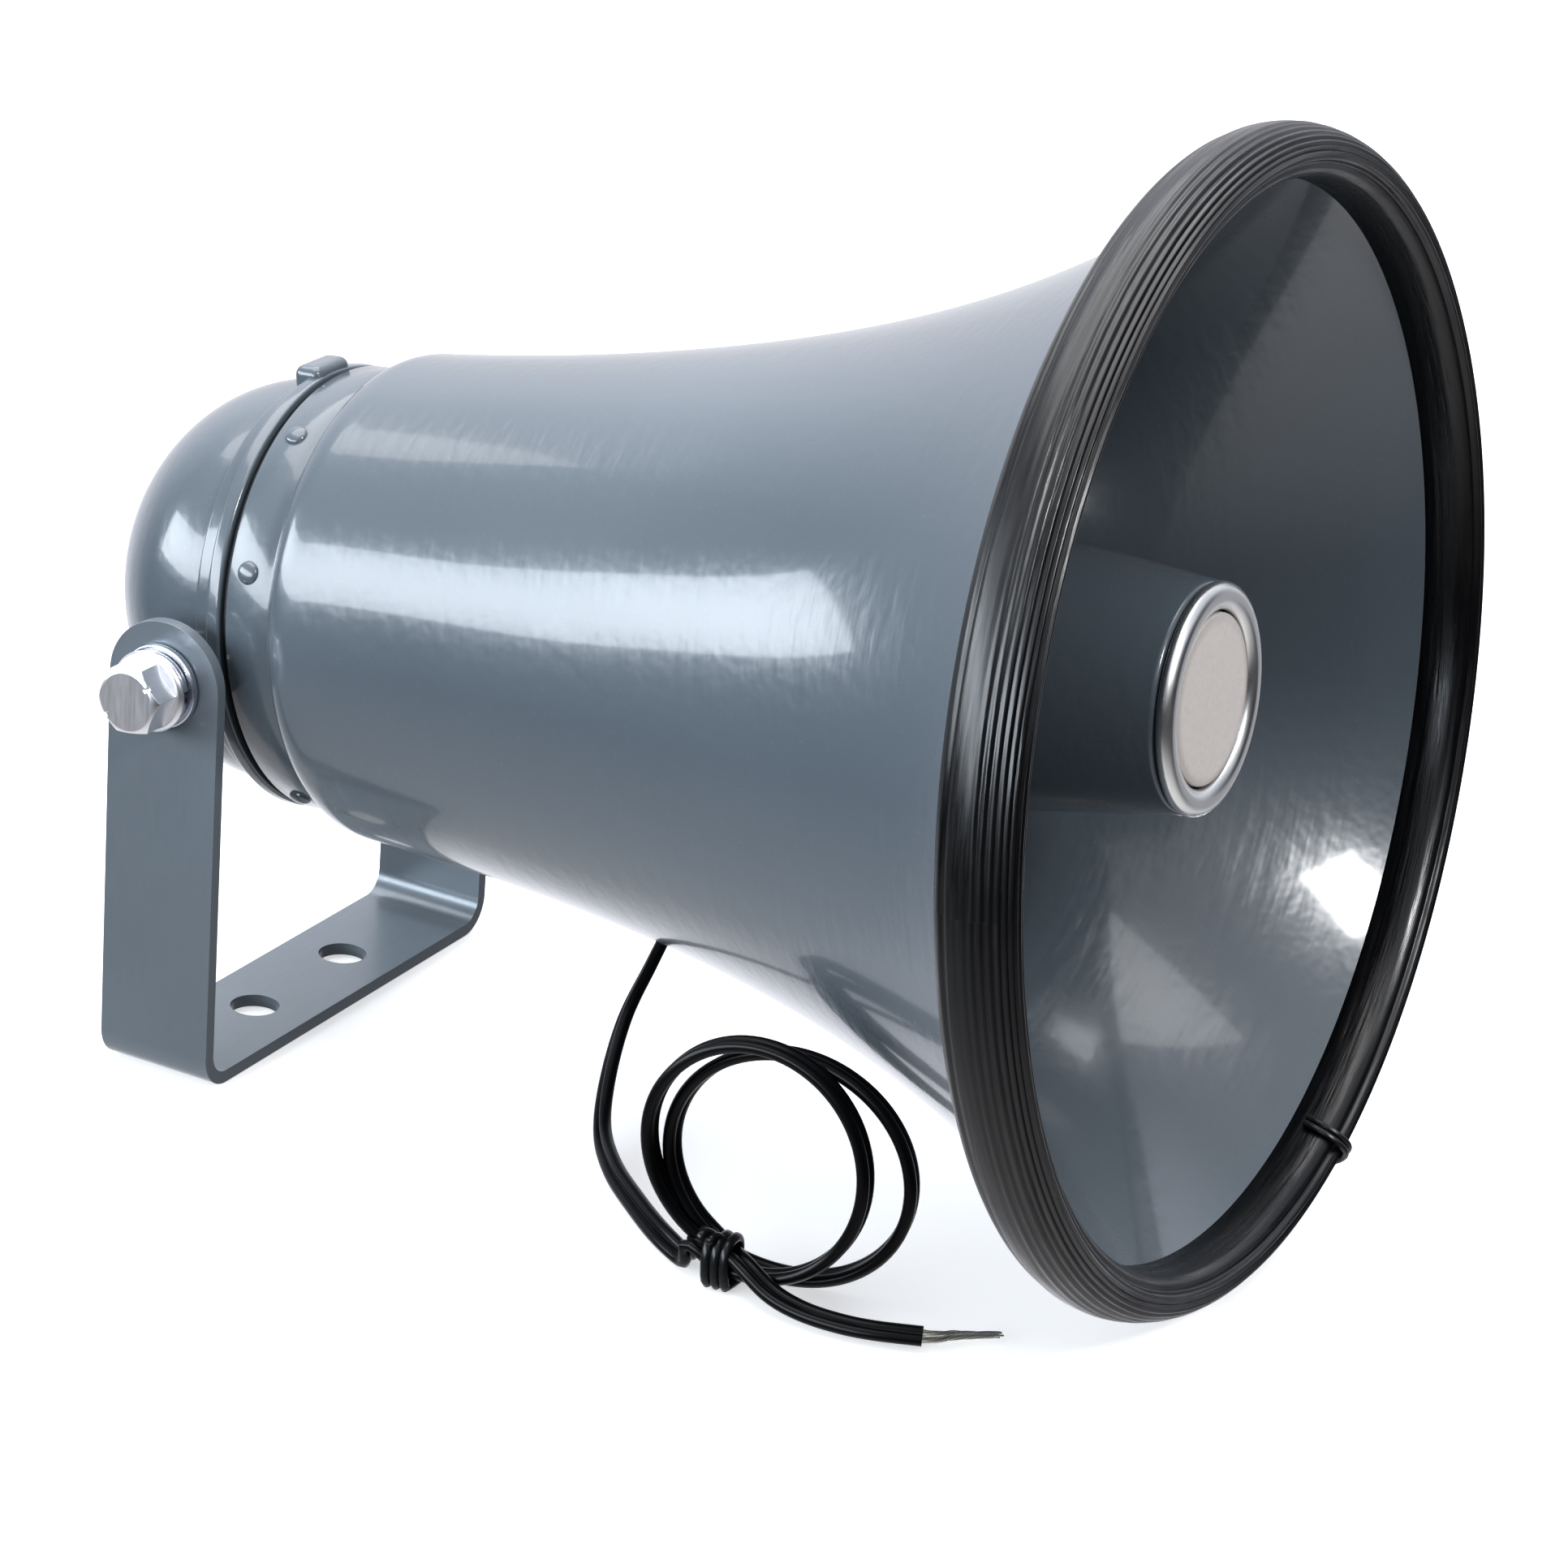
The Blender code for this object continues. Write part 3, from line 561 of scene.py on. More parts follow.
def rounded(corners, radius, steps=4):
    """A profile's corners, each rounded by an arc-like curve of about the radius."""
    points = []
    count = len(corners)
    for i, corner in enumerate(corners):
        here = Vector(corner)
        before = Vector(corners[i - 1]) - here
        after = Vector(corners[(i + 1) % count]) - here
        reach = min(radius, before.length * 0.45, after.length * 0.45)
        start = here + before.normalized() * reach
        end = here + after.normalized() * reach
        for step in range(steps + 1):
            t = step / steps
            blend = start * (1 - t) ** 2 + here * 2 * t * (1 - t) + end * t**2
            points.append((blend.x, blend.y))
    return points


def rounded_turning(name, corners, place, segments, look, radius=0.3 * MM, steps=4):
    shape = turned_shape(rounded(corners, radius, steps), place, segments)
    return finished(name, shape, look, sharp=60.0)


def smooth_route(points, per_span=8):
    """A Catmull-Rom curve through points."""
    ends = [2 * points[0] - points[1], *points, 2 * points[-1] - points[-2]]
    route = []
    for p0, p1, p2, p3 in zip(ends, ends[1:], ends[2:], ends[3:]):
        for step in range(per_span):
            t = step / per_span
            bend = (2 * p0 - 5 * p1 + 4 * p2 - p3) * t**2
            turn = (3 * p1 - p0 - 3 * p2 + p3) * t**3
            route.append(0.5 * (2 * p1 + (p2 - p0) * t + bend + turn))
    route.append(points[-1])
    return route


def spaced(points, spacing):
    """The same line with its points an even spacing apart."""
    route = [points[0]]
    left = spacing
    for start, end in zip(points, points[1:]):
        length = (end - start).length
        done = 0.0
        while length - done >= left:
            done += left
            route.append(start.lerp(end, done / length))
            left = spacing
        left -= length - done
    if (route[-1] - points[-1]).length > 0.3 * spacing:
        route.append(points[-1])
    return route


def swept_shape(shape, path, section, side, start=0, turn=None):
    """Sweeps a flat section of (across, up) points along a path without twisting it.

    The side is given at the path's start point number, and turn adds a twist along the path.
    """
    count = len(path)
    tangents = []
    for i in range(count):
        ahead = path[min(i + 1, count - 1)] - path[max(i - 1, 0)]
        tangents.append(ahead.normalized())
    sides = [None] * count

    def carry(carried, i):
        sides[i] = (carried - tangents[i] * carried.dot(tangents[i])).normalized()

    carry(side, start)
    for i in range(start + 1, count):
        carry(sides[i - 1], i)
    for i in range(start - 1, -1, -1):
        carry(sides[i + 1], i)
    rings = []
    for i in range(count):
        if turn:
            sides[i] = Matrix.Rotation(turn(i / (count - 1)), 3, tangents[i]) @ sides[i]
        up = tangents[i].cross(sides[i])
        rings.append([shape.verts.new(path[i] + sides[i] * x + up * y) for x, y in section])
    for first, second in zip(rings, rings[1:]):
        for i in range(len(section)):
            j = (i + 1) % len(section)
            shape.faces.new((first[i], first[j], second[j], second[i]))
    shape.faces.new(rings[0])
    shape.faces.new(rings[-1])
    return sides


def circle(radius, count=12):
    return [
        (radius * math.cos(2 * math.pi * i / count), radius * math.sin(2 * math.pi * i / count))
        for i in range(count)
    ]


def fixed(piece):
    """Turns a piece's modifiers into plain mesh."""
    graph = bpy.context.evaluated_depsgraph_get()
    mesh = bpy.data.meshes.new_from_object(piece.evaluated_get(graph))
    piece.modifiers.clear()
    piece.data = mesh


def cut(piece, shape, operation="DIFFERENCE"):
    """Takes a bmesh away from a piece, or keeps only what lies inside it."""
    other = mesh_object("cutter", shape)
    change = piece.modifiers.new("shape", "BOOLEAN")
    change.operation = operation
    change.object = other
    fixed(piece)
    bpy.data.objects.remove(other, do_unlink=True)


def prism(points, half_length, place):
    """A closed outline in a matrix's XY plane, extruded both ways along its Z."""
    shape = bmesh.new()
    lower = [shape.verts.new(place @ Vector((x, y, -half_length))) for x, y in points]
    upper = [shape.verts.new(place @ Vector((x, y, half_length))) for x, y in points]
    shape.faces.new(lower)
    shape.faces.new(upper)
    count = len(points)
    for i in range(count):
        j = (i + 1) % count
        shape.faces.new((lower[i], lower[j], upper[j], upper[i]))
    return shape


def arc(centre, radius, start, end, count):
    angles = [start + (end - start) * i / (count - 1) for i in range(count)]
    return [(centre[0] + radius * math.cos(a), centre[1] + radius * math.sin(a)) for a in angles]


def softened(piece, width, segments=3, angle=40.0):
    """Rounds a piece's edges and evens its shading."""
    bevel = piece.modifiers.new("edges", "BEVEL")
    bevel.width = width
    bevel.segments = segments
    bevel.limit_method = "ANGLE"
    bevel.angle_limit = math.radians(angle)
    bevel.use_clamp_overlap = True
    fixed(piece)
    piece.data.shade_smooth()
    piece.data.set_sharp_from_angle(angle=math.radians(60))
    weights = piece.modifiers.new("shading", "WEIGHTED_NORMAL")
    weights.keep_sharp = True


def add_box(shape, size, place):
    made = bmesh.ops.create_cube(shape, size=1.0)
    bmesh.ops.scale(shape, vec=size, verts=made["verts"])
    bmesh.ops.transform(shape, matrix=place, verts=made["verts"])


def along_axis(origin, direction):
    """A matrix at a place whose Z runs along a direction."""
    turn = Vector(direction).to_track_quat("Z", "Y").to_matrix().to_4x4()
    return Matrix.Translation(origin) @ turn


# Bell and edge


def flare(axial):
    return BODY_RADIUS + FLARE_GAIN * (math.exp(FLARE_RATE * (axial - BODY_BACK)) - 1)


def bell_outline():
    """The outer line of the bell, from its edge back to its collar."""
    count = 56
    line = []
    for i in range(count + 1):
        axial = BELL_END + (BODY_BACK - BELL_END) * (i / count) ** 0.95
        line.append((flare(axial), axial))
    shoulder = [
        (BODY_RADIUS - 0.08 * MM, 25.6 * MM),
        (BODY_RADIUS - 0.3 * MM, 24.0 * MM),
        (BODY_RADIUS - 0.7 * MM, 22.5 * MM),
        (BODY_RADIUS - 1.3 * MM, 21.2 * MM),
        (BODY_RADIUS - 2.1 * MM, 20.2 * MM),
        (COLLAR_RADIUS + 1.1 * MM, 19.7 * MM),
        (COLLAR_RADIUS + 0.75 * MM, 19.3 * MM),
        (COLLAR_RADIUS + 0.1 * MM, 19.05 * MM),
        (COLLAR_RADIUS - 0.25 * MM, 18.7 * MM),
        (COLLAR_RADIUS - 0.25 * MM, 18.3 * MM),
        (COLLAR_RADIUS, COLLAR_FRONT - 0.3 * MM),
        (COLLAR_RADIUS + 0.05 * MM, 15.0 * MM),
        (COLLAR_RADIUS, COLLAR_BACK + 0.5 * MM),
        (COLLAR_RADIUS - 0.3 * MM, COLLAR_BACK + 0.08 * MM),
        (COLLAR_RADIUS - 0.6 * MM, COLLAR_BACK),
    ]
    return line + shoulder


def make_bell(settings):
    outer = bell_outline()
    inner = [(radius - BELL_WALL, axial) for radius, axial in reversed(outer[:-2])]
    edge = BELL_WALL * 0.6

    def spun(angle, along):
        """Spun metal is never quite round: the wall wanders by a few hundredths."""
        depth = 0.05 * MM * math.sin(3 * angle + 40 * along)
        return depth + 0.03 * MM * math.sin(7 * angle - 90 * along)

    profile = outer + inner
    profile[0] = (outer[0][0] - 0.2 * MM, outer[0][1] + 0.2 * MM)
    profile.append((outer[0][0] - BELL_WALL / 2, BELL_END + edge))
    shape = turned_shape(profile, BELL_AXIS, settings.bell_segments, wobble=spun)
    bell = finished("bell_shell", shape, "enamel", 70.0)
    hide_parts("bell")


def bump_at(angle, centre, width):
    return math.exp(-(((angle - centre) / width) ** 2))


def make_edge_trim(settings):
    """An oval rubber strip with fine ribs on its face, then a groove and an inner lip."""
    count = 150
    profile = []
    for i in range(count):
        degrees = 205.0 - 360.0 * i / count
        angle = math.radians(degrees)
        proud = 0.0
        if RIB_START < degrees < RIB_END:
            swell = min(1.0, (degrees - RIB_START) / 14, (RIB_END - degrees) / 14)
            turns = math.radians(degrees - RIB_START) * 360 / RIB_SPACING
            proud = 0.2 * MM * swell * (math.cos(turns) - 1)
        proud -= 0.75 * MM * bump_at(degrees, -24, 7)
        proud += 0.25 * MM * bump_at(degrees, -50, 14)
        proud -= 0.35 * MM * bump_at(degrees, 128, 5)
        radial = (TRIM_HALF_HEIGHT + proud) * math.sin(angle)
        axial = (TRIM_HALF_DEPTH + proud) * math.cos(angle)
        profile.append((TRIM_RADIUS + radial, TRIM_CENTRE + axial))

    def hand_laid(angle, along):
        return 0.12 * MM * math.sin(5 * angle + 1.0) * (1 if along > TRIM_CENTRE else 0.4)

    shape = turned_shape(profile, BELL_AXIS, settings.bell_segments, wobble=hand_laid)
    trim = finished("edge_trim_ribbed", shape, "trim", 50.0)
    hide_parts("edge_trim")


def make_trim_clip(_settings):
    """The wire clip round the trim's joint, with its ends turned out."""
    side = Vector((math.cos(CLIP_ANGLE), math.sin(CLIP_ANGLE), 0))
    depth = TRIM_HALF_DEPTH + 0.75 * MM
    height = TRIM_HALF_HEIGHT + 0.75 * MM
    turn = Vector((-side.y, side.x, 0))
    shape = bmesh.new()
    for shift in (-0.8 * MM, 0.8 * MM):
        points = []
        for i in range(29):
            angle = math.radians(-84 + 290 * i / 28)
            out = TRIM_RADIUS + height * math.sin(angle)
            lean = turn * (shift + 0.9 * MM * math.sin(angle * 2))
            along = Vector((0, 0, TRIM_CENTRE + depth * math.cos(angle)))
            points.append(BELL_AXIS @ (side * out + lean + along))
        swept_shape(shape, points, circle(CLIP_WIRE_RADIUS, 10), SIDEWAYS)
    clip = finished("trim_clip", shape, "clip")
    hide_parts("trim_tie")


# Reflector


def make_reflector(_settings):
    face = REFLECTOR_FACE
    back_radius = REFLECTOR_RADIUS + REFLECTOR_TAPER * (face - REFLECTOR_BACK)
    wall = REFLECTOR_WALL
    corners = [
        (SCREW_HOLE_RADIUS, face),
        (REFLECTOR_RADIUS, face),
        (back_radius, REFLECTOR_BACK),
        (back_radius - wall, REFLECTOR_BACK),
        (REFLECTOR_RADIUS - wall, face - wall),
        (SCREW_HOLE_RADIUS, face - wall),
    ]
    cup = rounded_turning("reflector_cup", corners, DRIVER_AXIS, 128, "enamel", 1.2 * MM, 6)
    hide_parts("reflector")

    inner = BADGE_RADIUS + 0.45 * MM
    back = face + GAP
    front = back + RIM_DEPTH
    corners = [
        (inner, front - 1.0 * MM),
        (inner + 1.3 * MM, front),
        (REFLECTOR_RADIUS - 1.2 * MM, front),
        (REFLECTOR_RADIUS + 0.05 * MM, front - 1.2 * MM),
        (REFLECTOR_RADIUS + 0.05 * MM, back),
        (inner, back),
    ]
    rim = rounded_turning("reflector_rim", corners, DRIVER_AXIS, 128, "rim", 1.0 * MM, 6)
    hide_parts("reflector_ring")

    base = back + 0.7 * MM
    steps = 12
    profile = [(0, base + BADGE_CROWN * MM)]
    for i in range(1, steps):
        part = i / steps
        profile.append((BADGE_RADIUS * part, base + (BADGE_CROWN - 0.1 * part**2) * MM))
    profile += [
        (BADGE_RADIUS - 0.45 * MM, base + 1.0 * MM),
        (BADGE_RADIUS - 0.1 * MM, base + 0.8 * MM),
        (BADGE_RADIUS, base + 0.5 * MM),
        (BADGE_RADIUS, base),
        (0, base),
    ]
    shape = turned_shape(profile, DRIVER_AXIS, 96, closed=False)
    badge = finished("badge_face", shape, "badge", 60.0)
    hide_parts("badge_disc")


# Driver can


def can_dome(radius, depth, count):
    places = []
    for i in range(count + 1):
        angle = math.pi / 2 * i / count
        out = radius * math.cos(angle) if i < count else 0.0
        places.append((out, -depth * math.sin(angle)))
    return places


def make_driver_can(settings):
    lip = [
        (CAN_INSIDE, CAN_FRONT),
        (42.5 * MM, CAN_FRONT),
        (42.7 * MM, 4.9 * MM),
        (40.5 * MM, 4.1 * MM),
        (40.2 * MM, 0.9 * MM),
        (CAN_RADIUS + 0.02 * MM, 0.5 * MM),
        (CAN_RADIUS, 0.1 * MM),
    ]
    steps = 5
    profile = can_dome(CAN_INSIDE, CAN_DEPTH - CAN_WALL, 14)[::-1]
    profile += [(CAN_INSIDE, CAN_FRONT)]
    profile += rounded(lip, 0.7 * MM, steps)[steps + 1 : -steps - 1]
    profile += can_dome(CAN_RADIUS, CAN_DEPTH, 26)
    shape = turned_shape(profile, BELL_AXIS, settings.bell_segments, closed=False)
    can = finished("driver_can", shape, "enamel", 50.0)

    boss_face = ARM_OUTSIDE - STRIP_THICKNESS - GAP
    corners = [
        (BOLT_RADIUS + GAP, boss_face),
        (BOSS_RADIUS, boss_face),
        (BOSS_RADIUS, BOSS_INNER),
        (BOLT_RADIUS + GAP, BOSS_INNER),
    ]
    for side, word in ((-1, "left"), (1, "right")):
        place = along_axis(PIVOT, SIDEWAYS * side)
        boss = rounded_turning("pivot_boss_" + word, corners, place, 48, "enamel", 0.6 * MM)
        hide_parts("rear_cover")

    for sign, word in ((1, "upper"), (-1, "lower")):
        shape = bmesh.new()
        middle = Vector((0, sign * (LUG_INNER + LUG_OUTER) / 2, LUG_PLACE))
        size = (LUG_WIDTH, LUG_OUTER - LUG_INNER, LUG_DEPTH)
        add_box(shape, size, BELL_AXIS @ Matrix.Translation(middle))
        lug = finished("can_lug_" + word, shape, "enamel")
        softened(lug, 1.9 * MM, 5)
        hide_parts("rear_cover")
    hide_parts("rear_cover")


def make_rivets(_settings):
    profile = []
    for i in range(8):
        swing = math.pi / 2 * i / 8
        height = 0.2 * MM + 1.15 * MM * math.cos(swing) ** 0.8
        profile.append((RIVET_RADIUS * math.sin(swing), height))
    profile += [(RIVET_RADIUS, 0.25 * MM), (2.3 * MM, 0.1 * MM), (2.3 * MM, 0.0), (0, 0)]
    for number, degrees in enumerate(RIVET_DEGREES, 1):
        angle = math.radians(degrees)
        side = Vector((math.cos(angle), math.sin(angle), 0))
        base = BELL_AXIS @ (side * (COLLAR_RADIUS - 0.2 * MM) + Vector((0, 0, RIVET_PLACE)))
        place = along_axis(base, BELL_AXIS.to_3x3() @ side)
        shape = turned_shape(profile, place, 32, closed=False)
        rivet = finished(f"rivet_head_{number}", shape, "enamel", 60.0)
        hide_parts(f"rivet_{number}")


# Bracket


def make_bracket(_settings):
    """A flat strip bent into a U, with half-round tops and two holes in its foot."""
    right, up = Vector((1, 0, 0)), Vector((0, 0, 1))
    half = ARM_OUTSIDE
    top = PIVOT.z + STRIP_WIDTH
    inner = BEND_RADIUS - STRIP_THICKNESS
    inside = half - STRIP_THICKNESS
    quarter = math.pi / 2
    outline = [(half, top)]
    outline += arc((half - BEND_RADIUS, BEND_RADIUS), BEND_RADIUS, 0, -quarter, 14)
    outline += arc((BEND_RADIUS - half, BEND_RADIUS), BEND_RADIUS, -quarter, -2 * quarter, 14)
    outline += [(-half, top), (-inside, top)]
    outline += arc((inner - inside, STRIP_THICKNESS + inner), inner, -2 * quarter, -quarter, 12)
    outline += arc((inside - inner, STRIP_THICKNESS + inner), inner, -quarter, 0, 12)
    outline += [(inside, top)]
    upright = placed(Vector((0, 0, 0)), right, up, Vector((0, -1, 0)))
    shape = prism(outline, STRIP_WIDTH / 2 + MM, upright)
    strip = finished("bracket_strip", shape, "strip")

    wide = STRIP_WIDTH / 2
    side = [(-wide, -MM), (wide, -MM)]
    side += arc((0, PIVOT.z), wide, 0, math.pi, 41)
    across = placed(Vector((0, 0, 0)), Vector((0, 1, 0)), up, right)
    cut(strip, prism(side, half + MM, across), "INTERSECT")

    bore = [(0, 0.1), (BOLT_RADIUS + 0.35 * MM, 0.1), (BOLT_RADIUS + 0.35 * MM, -0.1), (0, -0.1)]
    cut(strip, turned_shape(bore, along_axis(PIVOT, SIDEWAYS), 40, closed=False))
    hole = [(0, 0.02), (FOOT_HOLE_RADIUS, 0.02), (FOOT_HOLE_RADIUS, -0.02), (0, -0.02)]
    for offset in (-FOOT_HOLE_OFFSET, FOOT_HOLE_OFFSET):
        cut(strip, turned_shape(hole, Matrix.Translation((offset, 0, 0)), 48, closed=False))
    softened(strip, 0.42 * MM, 2)
    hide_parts("yoke")


# Bolts


def make_bolts(_settings):
    bore = BOLT_RADIUS + 0.25 * MM
    for side, word in ((-1, "left"), (1, "right")):
        place = along_axis(PIVOT, SIDEWAYS * side)
        low = ARM_OUTSIDE + GAP
        high = low + FLAT_THICKNESS
        corners = [(bore, high), (FLAT_RADIUS, high), (FLAT_RADIUS, low), (bore, low)]
        name = "flat_washer_" + word
        washer = rounded_turning(name + "_turned", corners, place, 72, "washer", 0.35 * MM)
        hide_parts(name)

        low = high + GAP
        high = low + SPRING_THICKNESS
        make_spring_washer("spring_washer_" + word, place, bore, low, high)
        make_bolt("bolt_" + word, place, high + GAP)


def make_spring_washer(name, place, bore, low, high):
    """A split ring whose ends stand a little apart, one above the other."""
    shape = bmesh.new()
    turns = 70
    gap = math.radians(9)
    path = []
    middle = (bore + SPRING_RADIUS) / 2
    rise = (high - low) * 0.24
    for i in range(turns + 1):
        angle = gap + (2 * math.pi - 2 * gap) * i / turns
        lift = (low + high) / 2 + rise * (i / turns - 0.5)
        path.append(place @ Vector((middle * math.cos(angle), middle * math.sin(angle), lift)))
    wide = (SPRING_RADIUS - bore) / 2
    tall = (high - low) / 2 - rise / 2
    section = rounded([(-tall, -wide), (tall, -wide), (tall, wide), (-tall, wide)], 0.35 * MM, 3)
    swept_shape(shape, path, section, place.to_3x3() @ Vector((0, 0, 1)))
    ring = finished(name + "_split", shape, "washer", 50.0)
    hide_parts(name)


def make_bolt(name, place, low):
    """A flanged hexagon head with a crowned face, two forging notches and its shank."""
    corner = HEX_CORNER_RADIUS
    top = low + HEX_HEIGHT
    turn = place @ Matrix.Rotation(math.radians(8), 4, "Z")
    middle = Matrix.Translation((0, 0, (top + low) / 2 + 0.2 * MM))
    shape = prism(circle(corner, 6), (top - low) / 2 - 0.2 * MM, turn @ middle)
    head = finished(name + "_head", shape, "bolt")
    crown = [
        (0, top),
        (corner * 0.80, top),
        (corner * 0.88, top - 0.28 * MM),
        (corner * 1.03, top - 1.1 * MM),
        (corner * 1.03, low),
        (0, low),
    ]
    cut(head, turned_shape(crown, place, 72, closed=False), "INTERSECT")
    for sign in (-1, 1):
        shape = bmesh.new()
        spot = Matrix.Translation((sign * corner * 0.86, 0, top))
        notch_place = turn @ Matrix.Rotation(math.radians(30), 4, "Z") @ spot
        add_box(shape, (2.2 * MM, 0.8 * MM, 1.4 * MM), notch_place)
        cut(head, shape)
    softened(head, 0.22 * MM, 2, 25.0)
    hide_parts(name)

    flange_top = low + HEX_FLANGE_HEIGHT
    corners = [
        (BOLT_RADIUS * 0.7, flange_top),
        (HEX_FLANGE_RADIUS - 0.6 * MM, flange_top),
        (HEX_FLANGE_RADIUS, flange_top - 0.7 * MM),
        (HEX_FLANGE_RADIUS, low),
        (BOLT_RADIUS * 0.7, low),
    ]
    flange = rounded_turning(name + "_flange", corners, place, 72, "bolt", 0.35 * MM)
    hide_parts(name)

    start = low + 0.1 * MM
    profile = [(0, start), (BOLT_RADIUS, start)]
    along = ARM_OUTSIDE - STRIP_THICKNESS
    while along > BOLT_END + THREAD_PITCH:
        profile += [(BOLT_RADIUS, along), (BOLT_RADIUS - 0.5 * MM, along - THREAD_PITCH / 2)]
        along -= THREAD_PITCH
    profile += [(BOLT_RADIUS - 0.6 * MM, BOLT_END), (0, BOLT_END)]
    shape = turned_shape(profile, place, 32, closed=False)
    shank = finished(name + "_shank", shape, "bolt", 30.0)
    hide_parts(name)


# Lead


def loop_points():
    """Two upright turns of the flex, both starting and ending low at the tie."""
    points = []
    first, last = LOOPS
    steps = 44
    start = math.radians(238)
    whole = math.radians(718)
    for i in range(steps + 1):
        t = i / steps
        angle = start + whole * t
        blend = min(1.0, max(0.0, (t - 0.38) / 0.2))
        blend = blend * blend * (3 - 2 * blend)
        middle = Vector(first["middle"]).lerp(Vector(last["middle"]), blend)
        wide = first["half_width"] + (last["half_width"] - first["half_width"]) * blend
        high = first["half_height"] + (last["half_height"] - first["half_height"]) * blend
        swing = LOOP_PLANE * wide * math.cos(angle)
        points.append(middle + swing + Vector((0, 0, high * math.sin(angle))))
    return points


def flex_path():
    lead = [Vector(place) for place in LEAD_ROUTE]
    tail = [Vector(place) for place in TAIL_ROUTE]
    knots = lead + loop_points() + tail
    route = smooth_route([point * MM for point in knots], 6)
    return spaced(route, 1.4 * MM)


def make_flex(_settings):
    path = flex_path()
    angles = [math.radians(-148 + 296 * i / 12) for i in range(13)]
    section = [(CORE_OFFSET + CORE_RADIUS * math.cos(a), CORE_RADIUS * math.sin(a)) for a in angles]
    section += [(-x, -y) for x, y in section]
    across = LOOP_PLANE.cross(Vector((0, 0, 1)))
    shape = bmesh.new()

    def lead_turn(t):
        return LEAD_TWIST * max(0.0, 1.0 - t / LEAD_TWIST_ENDS) ** 0.6

    sides = swept_shape(shape, path, section, across, start=len(path) // 2, turn=lead_turn)
    flex = finished("twin_flex", shape, "flex", 40.0)
    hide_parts("cord_lead", "cord_coil", "cord_tail")

    tie = make_flex_tie()
    wires = make_bare_wires(path, sides[-1])
    length = sum((b - a).length for a, b in zip(path, path[1:]))


def make_flex_tie():
    """Two and a half turns of plastic-covered wire round the three strands, its ends twisted."""
    shape = bmesh.new()
    squeeze = 0.82
    points = []
    for i in range(61):
        t = i / 60
        angle = math.radians(100 + 900 * t)
        x = math.copysign(abs(math.cos(angle)) ** squeeze, math.cos(angle)) * TIE_HALF_WIDTH
        z = math.copysign(abs(math.sin(angle)) ** squeeze, math.sin(angle)) * TIE_HALF_HEIGHT
        along = LOOP_PLANE * (-2.2 + 4.4 * t)
        points.append(TIE_MIDDLE + (Vector((x, 0, max(z, TIE_BOTTOM))) + along) * MM)
    swept_shape(shape, points, circle(0.95 * MM, 12), Vector((0, 1, 0)))
    start = TIE_MIDDLE + Vector((-1.5, 0, 4.6)) * MM
    for phase in (0, math.pi):
        twist = []
        for i in range(15):
            t = i / 14
            angle = math.radians(400) * t + phase
            out = Vector((-2.4, 3.0, 2.0)) * t
            swing = Vector((math.cos(angle), 0.5 * math.sin(angle), math.sin(angle))) * 0.75
            twist.append(start + (out + swing) * MM)
        swept_shape(shape, twist, circle(0.8 * MM, 10), Vector((0, 1, 0)))
    return finished("flex_tie", shape, "tie", 50.0)


def make_bare_wires(path, side):
    """The stripped ends: two bundles of tinned strands, each laid in a slow twist."""
    rng = random.Random(7)
    end = path[-1]
    onward = (path[-1] - path[-4]).normalized()
    forward = (onward + Vector((0.42, 0.1, -0.03))).normalized()
    pieces = []
    for sign, word in ((-1, "left"), (1, "right")):
        shape = bmesh.new()
        start = end + side * sign * CORE_OFFSET - onward * 0.6 * MM
        for strand in range(STRANDS):
            phase = 2 * math.pi * strand / (STRANDS - 1)
            spread = 0.0 if strand == STRANDS - 1 else 0.42 * MM
            length = (BARE_LENGTH + rng.uniform(-1.6, 0.6)) * MM
            points = []
            for i in range(19):
                t = i / 18
                bend = onward.lerp(forward, min(1.0, t * 2.5)).normalized()
                centre = start + bend * length * t - side * sign * (0.75 * MM) * min(1.0, t * 1.4)
                centre.z = max(centre.z - 0.6 * MM * t, 0.75 * MM)
                angle = phase + 5.0 * t
                loose = spread * (1.0 - 0.35 * t)
                across = side * math.cos(angle) + Vector((0, 0, 1)) * math.sin(angle)
                points.append(centre + across * loose)
            swept_shape(shape, points, circle(0.2 * MM, 8), Vector((0, 0, 1)))
        name = "bare_wire_" + word
        wire = finished(name + "_strands", shape, "wire", 50.0)
        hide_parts(name)
        pieces.append(wire)
    return pieces


def make_grommet(_settings):
    side = Vector((math.cos(GROMMET_ANGLE), math.sin(GROMMET_ANGLE), 0))
    place = side * flare(GROMMET_PLACE) + Vector((0, 0, GROMMET_PLACE))
    slope = FLARE_GAIN * FLARE_RATE * math.exp(FLARE_RATE * (GROMMET_PLACE - BODY_BACK))
    way = BELL_AXIS.to_3x3() @ (side - Vector((0, 0, slope)))
    inside = -(BELL_WALL + 2.1 * MM)
    lip = GROMMET_NECK + 1.6 * MM
    corners = [
        (FLEX_WIDTH / 2 + 0.1 * MM, 3.4 * MM),
        (GROMMET_NECK, 3.4 * MM),
        (lip, 2.0 * MM),
        (lip, 0.45 * MM),
        (GROMMET_NECK, 0.3 * MM),
        (GROMMET_NECK, inside + 1.2 * MM),
        (lip - 0.6 * MM, inside + 1.2 * MM),
        (lip - 0.6 * MM, inside),
        (FLEX_WIDTH / 2 + 0.1 * MM, inside),
    ]
    matrix = along_axis(BELL_AXIS @ place, way)
    grommet = rounded_turning("lead_grommet", corners, matrix, 48, "grommet", 0.5 * MM)
    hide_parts("grommet")


